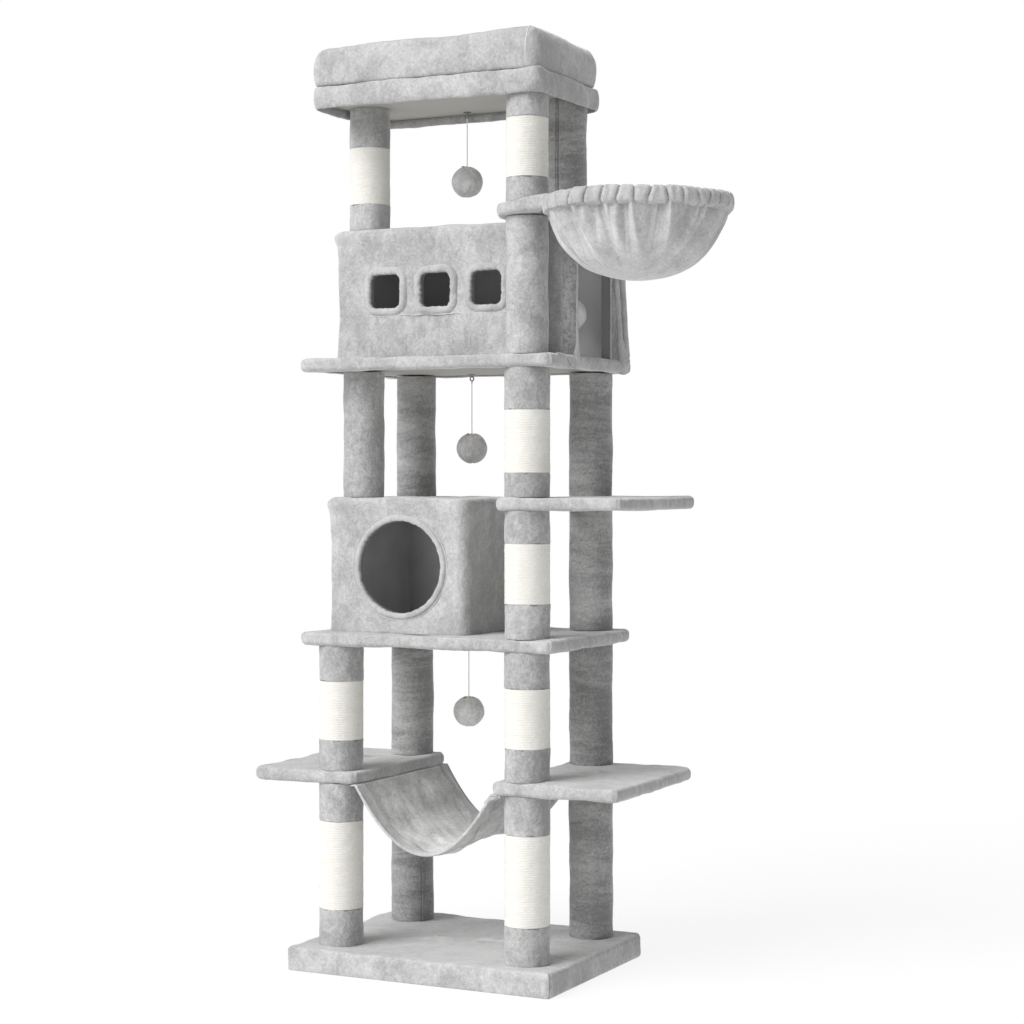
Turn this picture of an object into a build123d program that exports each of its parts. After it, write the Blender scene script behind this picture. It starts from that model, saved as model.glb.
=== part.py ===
"""Free-standing cat tree: stacked plush-covered boards on wrapped posts, two enclosed condos,
a hammock, a hooped basket, a raised-rim top perch and four hanging toy balls.

Millimetres, +Z up. The origin is the centre of the base board's underside, which stands on the
floor. +X is to the right of the tree seen from its front, +Y is towards its back."""

import os
from math import atan2, degrees

from build123d import *

os.makedirs("parts", exist_ok=True)

# Post grid and sections
POST_X = 198.0
POST_Y = 140.0
POST_R = 42.0
SLIM_R = 39.0
PLUSH = 4.0
TUBE_WALL = 4.0
SISAL_STEP = 1.0
PLUG_LENGTH = 32.0

# Levels: the top of each horizontal piece
BASE_TOP = 44.0
LOWER_TOP = 378.0
MIDDLE_TOP = 639.0
STEP_TOP = 898.0
UPPER_TOP = 1160.0
SLAB = 24.0

# Footprints
BASE_SIZE = (555.0, 428.0)
DECK_SIZE = (534.0, 374.0)
LEFT_SIZE = (227.0, 370.0)
RIGHT_SIZE = (252.0, 370.0)
FRONT_Y = -DECK_SIZE[1] / 2
LEFT_X = -368.0
LOWER_RIGHT_X = 145.0
STEP_X = 151.5
CORNER_R = 25.0
EDGE_R = 9.0
FOLD_WIDTH = 25.0
FOLD_DEPTH = 3.0

# Condos: low corner, size, and their panels
PANEL = 14.0
LOWER_CONDO = (-226.0, -140.0, 297.0, 305.0, 257.0)
UPPER_CONDO = (-239.0, -90.0, 503.0, 256.0, 252.0)
ROUND_DOOR = (-71.0, 765.0, 87.5)
PIPING_R = 8.0
PIPING_GAP = 0.2
WINDOW_X = (-131.0, -22.0, 87.0)
WINDOW_Z = 1291.0
WINDOW_SIZE = (64.0, 65.0)
WINDOW_CORNER_R = 20.0
ARCH_Y = 13.0
ARCH_WIDTH = 154.0
ARCH_TOP = 1378.0
ARCH_CORNER_R = 45.0

# Top perch
PERCH_CENTRE = (1.5, -45.0)
PERCH_SIZE = (489.0, 290.0)
PERCH_BOTTOM = 1633.0
PERCH_BOARD_BOTTOM = 1650.0
PERCH_BOARD = 15.0
PERCH_RIM = 8.0
PERCH_BAND_TOP = 1677.0
BOLSTER_INSET = 6.0
BOLSTER_TOP = 1755.0
BOLSTER_WIDTH = 70.0
BOLSTER_FLOOR = 1705.0

# Basket on its arm
HOOP_CENTRE = (455.0, -223.0)
HOOP_Z = 1418.0
HOOP_R = 155.0
HOOP_ROD_R = 4.0
RIM_SLEEVE_R = 15.0
BOWL_R = 152.0
BOWL_DEPTH = 140.0
BOWL_WALL = 5.0
ARM_BOTTOM = 1412.0
ARM_END_R = 50.0
TANG_SPACING = 40.0
TANG_IN_ARM = 45.0
HOOP_CLEARANCE = 0.3
ARM_GAP = 1.0

# Hammock between the two lower boards
HAMMOCK_SAG = 122.0
HAMMOCK_CLOTH = 4.0
HAMMOCK_TAB = 11.0
HAMMOCK_END_GAP = 3.0
HAMMOCK_SCREW_Y = (-60.0, 0.0, 60.0)
SCREW_R = 2.0
SCREW_HEAD_R = 5.0
SCREW_HEAD = 2.5

# Bolts through the boards
BOLT_R = 4.0
BOLT_HOLE_R = 4.4
BOLT_HEAD_R = 9.0
BOLT_HEAD = 4.0
HEAD_POCKET_R = 10.0
HEAD_POCKET = 5.0
HEAD_SINK = 0.5
BOLT_REACH = 28.0

# Toys: hook place, the underside it is screwed to, and the free length of the cord
BALL_R = 31.0
CORD_R = 1.0
CORD_GAP = 0.5
HOOK_GAP = 1.2
HOOK_WIRE_R = 1.3
HOOK_RING_R = 4.0
HOOK_PLATE_R = 7.0
HOOK_PLATE = 2.0
HOOK_DROP = 14.0
DIMPLE_R = 5.0
DIMPLE_DEPTH = 4.0
LOWER_CONDO_ROOF = MIDDLE_TOP + LOWER_CONDO[4]
UPPER_CONDO_ROOF = UPPER_TOP + UPPER_CONDO[4]
TOYS = {
    "perch": (-34.0, 65.0, PERCH_BOARD_BOTTOM, 94.0),
    "upper": (-55.0, 125.0, UPPER_TOP - SLAB + FOLD_DEPTH, 104.0),
    "middle": (-54.0, 110.0, MIDDLE_TOP - SLAB + FOLD_DEPTH, 104.0),
    "condo": (190.0, 65.0, UPPER_CONDO_ROOF - PANEL, 110.0),
}

# Posts: x, y, bottom, top, radius, and the sisal band's bottom and top where there is one
POSTS = {
    "base_front_left": (-POST_X, -POST_Y, BASE_TOP, LOWER_TOP - SLAB, POST_R, (115.0, 281.0)),
    "base_rear_left": (-POST_X, POST_Y, BASE_TOP, LOWER_TOP - SLAB, POST_R, None),
    "base_front_right": (POST_X, -POST_Y, BASE_TOP, LOWER_TOP - SLAB, POST_R, (115.0, 281.0)),
    "base_rear_right": (POST_X, POST_Y, BASE_TOP, LOWER_TOP - SLAB, POST_R, None),
    "lower_front_left": (-POST_X, -POST_Y, LOWER_TOP, MIDDLE_TOP - SLAB, POST_R, (436.0, 547.0)),
    "lower_rear_left": (-POST_X, POST_Y, LOWER_TOP, MIDDLE_TOP - SLAB, POST_R, None),
    "lower_front_right": (POST_X, -POST_Y, LOWER_TOP, MIDDLE_TOP - SLAB, POST_R, (439.0, 548.0)),
    "lower_rear_right": (POST_X, POST_Y, LOWER_TOP, MIDDLE_TOP - SLAB, POST_R, None),
    "middle_front_right": (POST_X, -POST_Y, MIDDLE_TOP, STEP_TOP - SLAB, POST_R, (703.0, 813.0)),
    "middle_rear_right": (POST_X, POST_Y, MIDDLE_TOP, STEP_TOP - SLAB, POST_R, None),
    "step_front_right": (POST_X, -POST_Y, STEP_TOP, UPPER_TOP - SLAB, POST_R, (943.0, 1058.0)),
    "step_rear_right": (POST_X, POST_Y, STEP_TOP, UPPER_TOP - SLAB, POST_R, None),
    "condo_roof_front": (-177.0, -90.0, LOWER_CONDO_ROOF, UPPER_TOP - SLAB, SLIM_R, None),
    "condo_roof_rear": (-177.0, 118.0, LOWER_CONDO_ROOF, UPPER_TOP - SLAB, SLIM_R, None),
    "upper_front_right": (POST_X, -POST_Y, UPPER_TOP, ARM_BOTTOM, SLIM_R, None),
    "perch_front_right": (POST_X, -POST_Y, ARM_BOTTOM + SLAB, PERCH_BOARD_BOTTOM, SLIM_R,
                          (1483.0, 1592.0)),
    "perch_front_left": (-190.0, -45.0, UPPER_CONDO_ROOF, PERCH_BOARD_BOTTOM, SLIM_R,
                         (1463.0, 1572.0)),
    "perch_rear_right": (POST_X, 29.0, UPPER_CONDO_ROOF, PERCH_BOARD_BOTTOM, SLIM_R, None),
}
# The two posts on the lower condo's roof are the same piece twice, so they share a node.
SHARED_SLEEVES = {"condo_roof_front": "condo_roof", "condo_roof_rear": "condo_roof"}


def save(name, pieces):
    """Writes one node: one solid, or several separate ones."""
    pieces = list(pieces)
    shape = pieces[0] if len(pieces) == 1 else Compound(children=pieces)
    export_step(shape, f"parts/{name}.step")


def soft_slab(width, depth, height, corner, edge):
    """A slab with rounded corners and rounded top and bottom edges, its bottom at z = 0."""
    slab = extrude(RectangleRounded(width, depth, corner), height)
    levels = slab.edges().group_by(Axis.Z)
    return fillet(levels[0] + levels[-1], edge)


def round_bar(x, y, bottom, top, radius):
    return Pos(x, y, bottom) * extrude(Circle(radius), top - bottom)


def round_tube(x, y, bottom, top, outer, inner):
    return Pos(x, y, bottom) * extrude(Circle(outer) - Circle(inner), top - bottom)


# ---- posts ----

def sleeve(x, y, bottom, top, radius, band):
    """The plush wrap of one post, in two lengths where a sisal band parts it."""
    core = radius - PLUSH
    spans = [(bottom, top)] if band is None else [(bottom, band[0]), (band[1], top)]
    return [round_tube(x, y, low, high, radius, core) for low, high in spans]


def post_nodes():
    sleeves, tubes, plugs, bands = {}, [], [], []
    for name, (x, y, bottom, top, radius, band) in POSTS.items():
        core = radius - PLUSH
        bore = core - TUBE_WALL
        sleeves.setdefault(SHARED_SLEEVES.get(name, name), []).extend(
            sleeve(x, y, bottom, top, radius, band))
        tubes.append(round_tube(x, y, bottom, top, core, bore))
        plugs.append(round_tube(x, y, bottom, bottom + PLUG_LENGTH, bore, BOLT_HOLE_R))
        plugs.append(round_tube(x, y, top - PLUG_LENGTH, top, bore, BOLT_HOLE_R))
        if band:
            bands.append(round_tube(x, y, band[0], band[1], radius - SISAL_STEP, core))
    for name, pieces in sleeves.items():
        save(f"{name}_post_sleeve", pieces)
    save("post_tubes", tubes)
    save("post_plugs", plugs)
    save("sisal_wraps", bands)


# ---- covered boards ----

def stud_holes(points, bottom, top):
    return [round_bar(x, y, bottom - 1, top + 1, BOLT_HOLE_R) for x, y in points]


def covered_board(name, centre, size, top, through, capped):
    """A board in a plush cover that folds under its edges. Posts at through carry on above it,
    and posts at capped end below it, their bolt heads sunk in the board's top face."""
    bottom = top - SLAB
    width, depth = size
    place = Pos(centre[0], centre[1], bottom + FOLD_DEPTH)
    thick = SLAB - FOLD_DEPTH - PLUSH
    core = place * extrude(
        RectangleRounded(width - 2 * PLUSH, depth - 2 * PLUSH, CORNER_R - PLUSH), thick)
    inset = 2 * (PLUSH + FOLD_WIDTH)
    window = Pos(centre[0], centre[1], bottom - 1) * extrude(
        RectangleRounded(width - inset, depth - inset, CORNER_R), FOLD_DEPTH + 1)
    skin = Pos(centre[0], centre[1], bottom) * soft_slab(width, depth, SLAB, CORNER_R, EDGE_R)
    cover = skin - core - window
    board_top = top - PLUSH
    for hole in stud_holes(through, bottom, top):
        cover -= hole
        core -= hole
    for x, y in capped:
        hole = round_bar(x, y, bottom - 1, board_top - 1, BOLT_HOLE_R)
        cover -= hole
        core -= hole + round_bar(x, y, board_top - HEAD_POCKET, board_top, HEAD_POCKET_R)
    save(f"{name}_board", [core])
    save(f"{name}_cover", [cover])


def base():
    """The base board lies on the floor, with the cover down its sides to the floor."""
    width, depth = BASE_SIZE
    core = extrude(RectangleRounded(width - 2 * PLUSH, depth - 2 * PLUSH, CORNER_R - PLUSH),
                   BASE_TOP - PLUSH)
    skin = extrude(RectangleRounded(width, depth, CORNER_R), BASE_TOP)
    skin = fillet(skin.edges().group_by(Axis.Z)[-1], EDGE_R)
    cover = skin - core
    for x, y in [(a * POST_X, b * POST_Y) for a in (-1, 1) for b in (-1, 1)]:
        hole = round_bar(x, y, -1, BASE_TOP + 1, BOLT_HOLE_R)
        cover -= hole
        core -= hole + round_bar(x, y, 0, HEAD_POCKET, HEAD_POCKET_R)
    save("base_board", [core])
    save("base_cover", [cover])


def board_nodes():
    base()
    left, right, front, rear = -POST_X, POST_X, -POST_Y, POST_Y
    roof_posts = [POSTS[name][:2] for name in SHARED_SLEEVES]
    side_y = FRONT_Y + LEFT_SIZE[1] / 2
    covered_board("lower_left", (LEFT_X + LEFT_SIZE[0] / 2, side_y), LEFT_SIZE, LOWER_TOP,
                  [(left, front), (left, rear)], [])
    covered_board("lower_right", (LOWER_RIGHT_X + RIGHT_SIZE[0] / 2, side_y), RIGHT_SIZE, LOWER_TOP,
                  [(right, front), (right, rear)], [])
    covered_board("middle", (0, 0), DECK_SIZE, MIDDLE_TOP,
                  [(right, front), (right, rear)], [(left, front), (left, rear)])
    covered_board("step", (STEP_X + RIGHT_SIZE[0] / 2, side_y), RIGHT_SIZE, STEP_TOP,
                  [(right, front), (right, rear)], [])
    covered_board("upper", (0, 0), DECK_SIZE, UPPER_TOP,
                  [(right, front)], [(right, rear)] + roof_posts)


# ---- condos ----

def panel(x, y, z, width, depth, height):
    return Pos(x, y, z) * Box(width, depth, height, align=(Align.MIN, Align.MIN, Align.MIN))


def condo_shell(box, floor_z):
    """Front, back, left, right and roof panels of a condo whose floor is the board under it."""
    x, y, width, depth, height = box
    wall = height - PANEL
    side = depth - 2 * PANEL
    return {
        "front": panel(x, y, floor_z, width, PANEL, wall),
        "back": panel(x, y + depth - PANEL, floor_z, width, PANEL, wall),
        "left": panel(x, y + PANEL, floor_z, PANEL, side, wall),
        "right": panel(x + width - PANEL, y + PANEL, floor_z, PANEL, side, wall),
        "roof": panel(x, y, floor_z + wall, width, depth, PANEL),
    }


def rounded_roof(roof):
    top = roof.edges().group_by(Axis.Z)[-1]
    return fillet(top, EDGE_R)


def roof_with_holes(roof, names):
    for name in names:
        x, y, bottom = POSTS[name][:3]
        roof -= round_bar(x, y, bottom - PANEL - 1, bottom + 1, BOLT_HOLE_R)
    return rounded_roof(roof)


def front_cut(x, z, front_y, outline):
    """A hole through a front panel, with the outline centred at (x, z)."""
    plane = Plane(origin=(x, front_y - 1, z), x_dir=(1, 0, 0), z_dir=(0, 1, 0))
    return extrude(plane * outline, PANEL + 2)


def round_piping():
    """The plush piping round the round doorway, proud of the front wall."""
    x, z, radius = ROUND_DOOR
    front = LOWER_CONDO[1]
    ring = Plane(origin=(x, front - PIPING_R, z), x_dir=(1, 0, 0), z_dir=(0, 1, 0))
    return extrude(ring * (Circle(radius + 2 * PIPING_R) - Circle(radius)), PIPING_R - PIPING_GAP)


def window_piping(x):
    front = UPPER_CONDO[1]
    width, height = WINDOW_SIZE
    grow = 2 * PIPING_R
    outer = RectangleRounded(width + grow, height + grow, WINDOW_CORNER_R + PIPING_R)
    inner = RectangleRounded(width, height, WINDOW_CORNER_R)
    plane = Plane(origin=(x, front - PIPING_R, WINDOW_Z), x_dir=(1, 0, 0), z_dir=(0, 1, 0))
    return extrude(plane * (outer - inner), PIPING_R - PIPING_GAP)


def lower_condo():
    walls = condo_shell(LOWER_CONDO, MIDDLE_TOP)
    x, z, radius = ROUND_DOOR
    save("lower_condo_front_wall", [walls["front"] - front_cut(x, z, LOWER_CONDO[1], Circle(radius))])
    save("lower_condo_back_wall", [walls["back"]])
    save("lower_condo_side_walls", [walls["left"], walls["right"]])
    save("lower_condo_roof", [roof_with_holes(walls["roof"], SHARED_SLEEVES)])


def arch_opening():
    """The doorway in the right wall, from the board up, its upper corners rounded."""
    low = UPPER_TOP - ARCH_CORNER_R
    height = ARCH_TOP - low
    x = UPPER_CONDO[0] + UPPER_CONDO[2] - PANEL - 1
    plane = Plane(origin=(x, ARCH_Y, low + height / 2), x_dir=(0, 1, 0), z_dir=(1, 0, 0))
    return extrude(plane * RectangleRounded(ARCH_WIDTH, height, ARCH_CORNER_R), PANEL + 2)


def upper_condo():
    walls = condo_shell(UPPER_CONDO, UPPER_TOP)
    front = walls["front"]
    outline = RectangleRounded(*WINDOW_SIZE, WINDOW_CORNER_R)
    for x in WINDOW_X:
        front -= front_cut(x, WINDOW_Z, UPPER_CONDO[1], outline)
    save("upper_condo_front_wall", [front])
    save("upper_condo_back_wall", [walls["back"]])
    save("upper_condo_left_wall", [walls["left"]])
    save("upper_condo_door_wall", [walls["right"] - arch_opening()])
    save("upper_condo_roof", [roof_with_holes(walls["roof"], ["perch_front_left", "perch_rear_right"])])
    save("opening_piping", [round_piping()] + [window_piping(x) for x in WINDOW_X])


# ---- top perch ----

def perch():
    x, y = PERCH_CENTRE
    width, depth = PERCH_SIZE
    board_top = PERCH_BOARD_BOTTOM + PERCH_BOARD
    board_inset = 2 * PLUSH
    core = Pos(x, y, PERCH_BOARD_BOTTOM) * extrude(
        RectangleRounded(width - board_inset, depth - board_inset, CORNER_R - PLUSH), PERCH_BOARD)
    pocket = Pos(x, y, PERCH_BOTTOM - 1) * extrude(
        RectangleRounded(width - 2 * PERCH_RIM, depth - 2 * PERCH_RIM, CORNER_R - PLUSH),
        PERCH_BOARD_BOTTOM - PERCH_BOTTOM + 1)
    band = Pos(x, y, PERCH_BOTTOM) * soft_slab(
        width, depth, PERCH_BAND_TOP - PERCH_BOTTOM, CORNER_R, EDGE_R)
    band = band - core - pocket
    for name in ("perch_front_right", "perch_front_left", "perch_rear_right"):
        px, py = POSTS[name][:2]
        core -= round_bar(px, py, PERCH_BOARD_BOTTOM - 1, board_top - 1, BOLT_HOLE_R)
        core -= round_bar(px, py, board_top - HEAD_POCKET, board_top, HEAD_POCKET_R)
    save("perch_board", [core])
    save("perch_band", [band])
    rim_w = width - 2 * BOLSTER_INSET
    rim_d = depth - 2 * BOLSTER_INSET
    bolster = Pos(x, y, PERCH_BAND_TOP) * soft_slab(
        rim_w, rim_d, BOLSTER_TOP - PERCH_BAND_TOP, CORNER_R, 2 * EDGE_R)
    hollow = Pos(x, y, BOLSTER_FLOOR) * extrude(
        RectangleRounded(rim_w - 2 * BOLSTER_WIDTH, rim_d - 2 * BOLSTER_WIDTH, CORNER_R),
        BOLSTER_TOP - BOLSTER_FLOOR + 1)
    save("perch_bolster", [bolster - hollow])


# ---- basket ----

def basket():
    """Everything is drawn with the hoop's centre at the origin and the post on its -X side."""
    run_x = HOOP_CENTRE[0] - POST_X
    run_y = HOOP_CENTRE[1] + POST_Y
    reach = (run_x ** 2 + run_y ** 2) ** 0.5
    place = Pos(*HOOP_CENTRE, HOOP_Z) * Rot(0, 0, degrees(atan2(run_y, run_x)))
    arm_end = -HOOP_R - RIM_SLEEVE_R - ARM_GAP
    length = reach + arm_end
    plan = Pos(-reach, 0) * Circle(ARM_END_R) + Pos(arm_end - length / 2, 0) * Rectangle(
        length, 2 * ARM_END_R)
    arm = extrude(plan, SLAB)
    arm = fillet(arm.edges().group_by(Axis.Z)[0] + arm.edges().group_by(Axis.Z)[-1], EDGE_R)
    arm = Pos(0, 0, ARM_BOTTOM - HOOP_Z) * arm
    arm -= round_bar(-reach, 0, ARM_BOTTOM - HOOP_Z - 1, SLAB, BOLT_HOLE_R)
    arm -= hoop_and_tangs(arm_end, HOOP_CLEARANCE)
    save("basket_arm", [place * arm])
    save("basket_hoop", [place * hoop_and_tangs(arm_end, 0)])
    save("basket_cloth", [place * (basket_cloth() - hoop_and_tangs(arm_end, HOOP_CLEARANCE))])


def hoop_and_tangs(arm_end, clearance):
    """The steel hoop with the two straight tangs that go into the arm. The clearance makes it
    into the tool that cuts their channels."""
    hoop = Torus(HOOP_R, HOOP_ROD_R + clearance)
    start = arm_end - TANG_IN_ARM
    for offset in (-TANG_SPACING / 2, TANG_SPACING / 2):
        stop = -(HOOP_R ** 2 - offset ** 2) ** 0.5
        hoop += Pos(start, offset, 0) * Rot(0, 90, 0) * extrude(
            Circle(HOOP_ROD_R + 2 * clearance), stop - start)
    return hoop


def basket_cloth():
    """A sleeve round the hoop with the bowl hanging from it, open upwards."""
    outer = Ellipse(BOWL_R, BOWL_DEPTH)
    inner = Ellipse(BOWL_R - BOWL_WALL, BOWL_DEPTH - BOWL_WALL)
    low_right = Pos(BOWL_R, -BOWL_DEPTH) * Rectangle(2 * BOWL_R, 2 * BOWL_DEPTH)
    section = (outer - inner) & low_right
    section += Pos(HOOP_R, 0) * Circle(RIM_SLEEVE_R)
    return revolve(Plane.XZ * section, Axis.Z)


# ---- hammock ----

def hammock():
    """A cloth sheet that hangs as a parabola, its ends folded flat under the two boards."""
    left = LEFT_X + LEFT_SIZE[0]
    right = LOWER_RIGHT_X
    top = LOWER_TOP - SLAB
    middle = (left + right) / 2
    under = top - HAMMOCK_CLOTH
    control = top - 2 * HAMMOCK_SAG
    inner_left = (left + HAMMOCK_CLOTH, top)
    inner_right = (right - HAMMOCK_CLOTH, top)
    outline = [
        Bezier(inner_left, (middle, control + 2 * HAMMOCK_CLOTH), inner_right),
        Polyline(inner_right, (right + HAMMOCK_TAB, top), (right + HAMMOCK_TAB, under),
                 (right, under)),
        Bezier((right, under), (middle, control), (left, under)),
        Polyline((left, under), (left - HAMMOCK_TAB, under), (left - HAMMOCK_TAB, top), inner_left),
    ]
    section = Plane.XZ * make_face(outline)
    length = LEFT_SIZE[1] - 2 * HAMMOCK_END_GAP
    sheet = Pos(0, FRONT_Y + HAMMOCK_END_GAP + length, 0) * extrude(section, length)
    screws = []
    for x in (left - HAMMOCK_TAB / 2, right + HAMMOCK_TAB / 2):
        for y in HAMMOCK_SCREW_Y:
            sheet -= round_bar(x, y, under - 1, top + 1, SCREW_R)
            shank = round_bar(x, y, under - SCREW_HEAD, top, SCREW_R)
            screws.append(shank + round_bar(x, y, under - SCREW_HEAD, under, SCREW_HEAD_R))
    save("hammock", [sheet])
    save("hammock_screws", screws)


# ---- bolts ----

def bolt_nodes():
    """Studs join post to post through a board, and headed bolts hold a post on one side only."""
    bolts = []
    columns = {}
    for x, y, bottom, top, radius, band in POSTS.values():
        columns.setdefault((x, y), []).append((bottom, top))
    for (x, y), spans in columns.items():
        spans.sort()
        starts = {bottom for bottom, top in spans}
        for bottom, top in spans:
            above = [b for b in starts if 0 < b - top <= SLAB]
            if above:
                bolts.append(round_bar(x, y, top - BOLT_REACH, above[0] + BOLT_REACH, BOLT_R))
            else:
                bolts.append(capped_bolt(x, y, top))
        first = spans[0][0]
        thick = BASE_TOP - HEAD_POCKET + HEAD_SINK if first == BASE_TOP else PANEL
        head_top = first - thick
        shank = round_bar(x, y, head_top - BOLT_HEAD, first + BOLT_REACH, BOLT_R)
        bolts.append(shank + round_bar(x, y, head_top - BOLT_HEAD, head_top, BOLT_HEAD_R))
    save("post_bolts", bolts)


def capped_bolt(x, y, post_top):
    """A bolt whose head is sunk in the top of the board that the post ends under."""
    if post_top == PERCH_BOARD_BOTTOM:
        board_top = PERCH_BOARD_BOTTOM + PERCH_BOARD
    else:
        board_top = post_top + SLAB - PLUSH
    seat = board_top - HEAD_POCKET
    shank = round_bar(x, y, post_top - BOLT_REACH, seat + BOLT_HEAD, BOLT_R)
    return shank + round_bar(x, y, seat, seat + BOLT_HEAD, BOLT_HEAD_R)


# ---- toys ----

def toy_hook(x, y, under):
    """A screw eye: a round plate on the board, a stem, and a ring that the cord hangs from."""
    plate = round_bar(x, y, under - HOOK_PLATE, under, HOOK_PLATE_R)
    ring_z = under - HOOK_DROP + HOOK_WIRE_R + HOOK_RING_R
    stem = round_bar(x, y, ring_z + HOOK_RING_R, under - HOOK_PLATE, HOOK_WIRE_R)
    ring = Pos(x, y, ring_z) * Rot(90, 0, 0) * Torus(HOOK_RING_R, HOOK_WIRE_R)
    return plate + stem + ring


def toy_nodes():
    hooks = []
    for name, (x, y, under, length) in TOYS.items():
        hooks.append(toy_hook(x, y, under))
        cord_top = under - HOOK_DROP - HOOK_GAP
        cord_end = cord_top - length
        ball_top = cord_end + DIMPLE_DEPTH - CORD_GAP
        save(f"{name}_toy_cord", [round_bar(x, y, cord_end, cord_top, CORD_R)])
        ball = Pos(x, y, ball_top - BALL_R) * Sphere(BALL_R)
        dimple = Pos(x, y, ball_top - DIMPLE_DEPTH) * Cone(
            CORD_R, DIMPLE_R, DIMPLE_DEPTH + 1, align=(Align.CENTER, Align.CENTER, Align.MIN))
        save(f"{name}_toy_ball", [ball - dimple])
        print(name, "toy: hinge z", cord_top, "cord end z", cord_end, "ball centre z", ball_top - BALL_R)
    save("toy_hooks", hooks)


post_nodes()
board_nodes()
lower_condo()
upper_condo()
perch()
basket()
hammock()
bolt_nodes()
toy_nodes()
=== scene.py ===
"""Plush cat tree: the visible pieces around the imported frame.

Metres, in the part's own frame: the origin is under the middle of the base, +X is to the right of
the tree seen from its front, +Y is towards its back and +Z is up."""

from math import atan2, cos, pi, radians, sin, sqrt, tau

import bmesh
import bpy
import numpy as np
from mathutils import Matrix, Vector


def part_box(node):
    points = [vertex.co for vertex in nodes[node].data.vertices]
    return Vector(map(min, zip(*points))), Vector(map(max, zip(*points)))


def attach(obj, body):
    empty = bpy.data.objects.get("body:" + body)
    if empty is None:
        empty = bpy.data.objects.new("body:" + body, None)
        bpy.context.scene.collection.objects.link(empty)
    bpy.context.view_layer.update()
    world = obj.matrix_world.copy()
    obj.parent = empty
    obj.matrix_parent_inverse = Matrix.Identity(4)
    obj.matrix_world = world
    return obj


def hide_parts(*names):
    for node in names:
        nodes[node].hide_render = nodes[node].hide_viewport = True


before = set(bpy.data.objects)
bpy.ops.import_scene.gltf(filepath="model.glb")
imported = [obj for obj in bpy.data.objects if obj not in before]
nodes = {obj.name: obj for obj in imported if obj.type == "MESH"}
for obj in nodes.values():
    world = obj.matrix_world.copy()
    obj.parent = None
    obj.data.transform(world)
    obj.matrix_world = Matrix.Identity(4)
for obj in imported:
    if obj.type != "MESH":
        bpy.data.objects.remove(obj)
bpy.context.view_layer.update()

MM = 0.001
# Edges sharper than these are shown sharp, on carved pieces and on the hammock's hems
SMOOTH_ANGLE = radians(50)
HEM_ANGLE = radians(75)

# ---- camera, lights and floor ----

CAMERA_PLACE = (2.0327, -3.8706, 0.9333)
CAMERA_TURN = 26.575
CAMERA_LENS = 79.72
SENSOR_WIDTH = 36
# How far the view's middle is below the level line, as a share of the frame
HORIZON_RISE = 34 / 1024
# The key light's way from the front towards +X, and its height, in degrees
KEY_TURN = -27
KEY_HEIGHT = 36
KEY_STRENGTH = 2.85
KEY_WIDTH = 44
ROOM_LIGHT = 0.45


def add_camera():
    data = bpy.data.cameras.new("camera")
    data.sensor_width = SENSOR_WIDTH
    data.lens = CAMERA_LENS
    data.shift_y = -HORIZON_RISE
    camera = bpy.data.objects.new("camera", data)
    camera.location = CAMERA_PLACE
    camera.rotation_euler = (pi / 2, 0, radians(CAMERA_TURN))
    bpy.context.scene.collection.objects.link(camera)
    bpy.context.scene.camera = camera


add_camera()

# ---- cords ----

CORD_D = 2 * MM
CORD_SIDES = 18
LOOP_SIDES = 28
STRAND_TURN = 9 * MM
# Each toy's hook, and its cord's length
TOYS = {
    "perch": ((-0.034, 0.065, 1.6348), 0.094),
    "upper": ((-0.055, 0.125, 1.1238), 0.104),
    "middle": ((-0.054, 0.110, 0.6028), 0.104),
    "condo": ((0.190, 0.065, 1.3828), 0.110),
}


def link(obj):
    bpy.context.scene.collection.objects.link(obj)
    return obj


def turns(count):
    """Even angles all the way round."""
    return np.arange(count) / count * tau


def turn_gap(one, other):
    """How far one angle is past another, from -pi to pi."""
    return (one - other + pi) % tau - pi


def unit(turn):
    return np.stack([np.cos(turn), np.sin(turn)], -1)


def level_ring(x, y, reach, ways, z):
    """Points about (x, y), out along level directions. Reach and z may differ from point to point."""
    return np.column_stack([x + reach * ways[:, 0], y + reach * ways[:, 1], np.broadcast_to(z, len(ways))])


def line_run(line):
    """How far along a line each of its points is."""
    return np.concatenate([[0], np.cumsum(np.linalg.norm(np.diff(line, axis=0), axis=1))])


def line_points(line, run, at):
    return np.column_stack([np.interp(at, run, line[:, k]) for k in range(line.shape[1])])


def spline_path(points):
    """Points along the smooth line that has the route's points as its control points."""
    curve = bpy.data.curves.new("route", "CURVE")
    curve.dimensions = "3D"
    curve.resolution_u = 24
    spline = curve.splines.new("NURBS")
    spline.points.add(len(points) - 1)
    for point, place in zip(spline.points, points):
        point.co = (*place, 1)
    spline.order_u = 3
    spline.use_endpoint_u = True
    route = link(bpy.data.objects.new("route", curve))
    mesh = bpy.data.meshes.new_from_object(route)
    path = np.array([vertex.co for vertex in mesh.vertices])
    bpy.data.objects.remove(route)
    bpy.data.meshes.remove(mesh)
    return path


def loft_faces(rows, columns, wrap_rows=False):
    """Quads between closed rows of points, and from the last row to the first if the rows wrap."""
    row = np.arange(rows if wrap_rows else rows - 1)[:, None]
    column = np.arange(columns)[None, :]
    following = (row + 1) % rows
    right = (column + 1) % columns
    quads = np.stack([row * columns + column, row * columns + right,
                      following * columns + right, following * columns + column], -1)
    return quads.reshape(-1, 4).tolist()


def mesh_piece(name, points, faces, material, body="tree", slot="plush"):
    mesh = bpy.data.meshes.new(name)
    mesh.from_pydata(np.asarray(points).reshape(-1, 3).tolist(), [], faces)
    mesh.validate()
    for one in material if isinstance(material, list) else [material]:
        mesh.materials.append(one)
    mesh.shade_smooth()
    piece = link(bpy.data.objects.new(name, mesh))
    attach(piece, body)
    return piece


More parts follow.
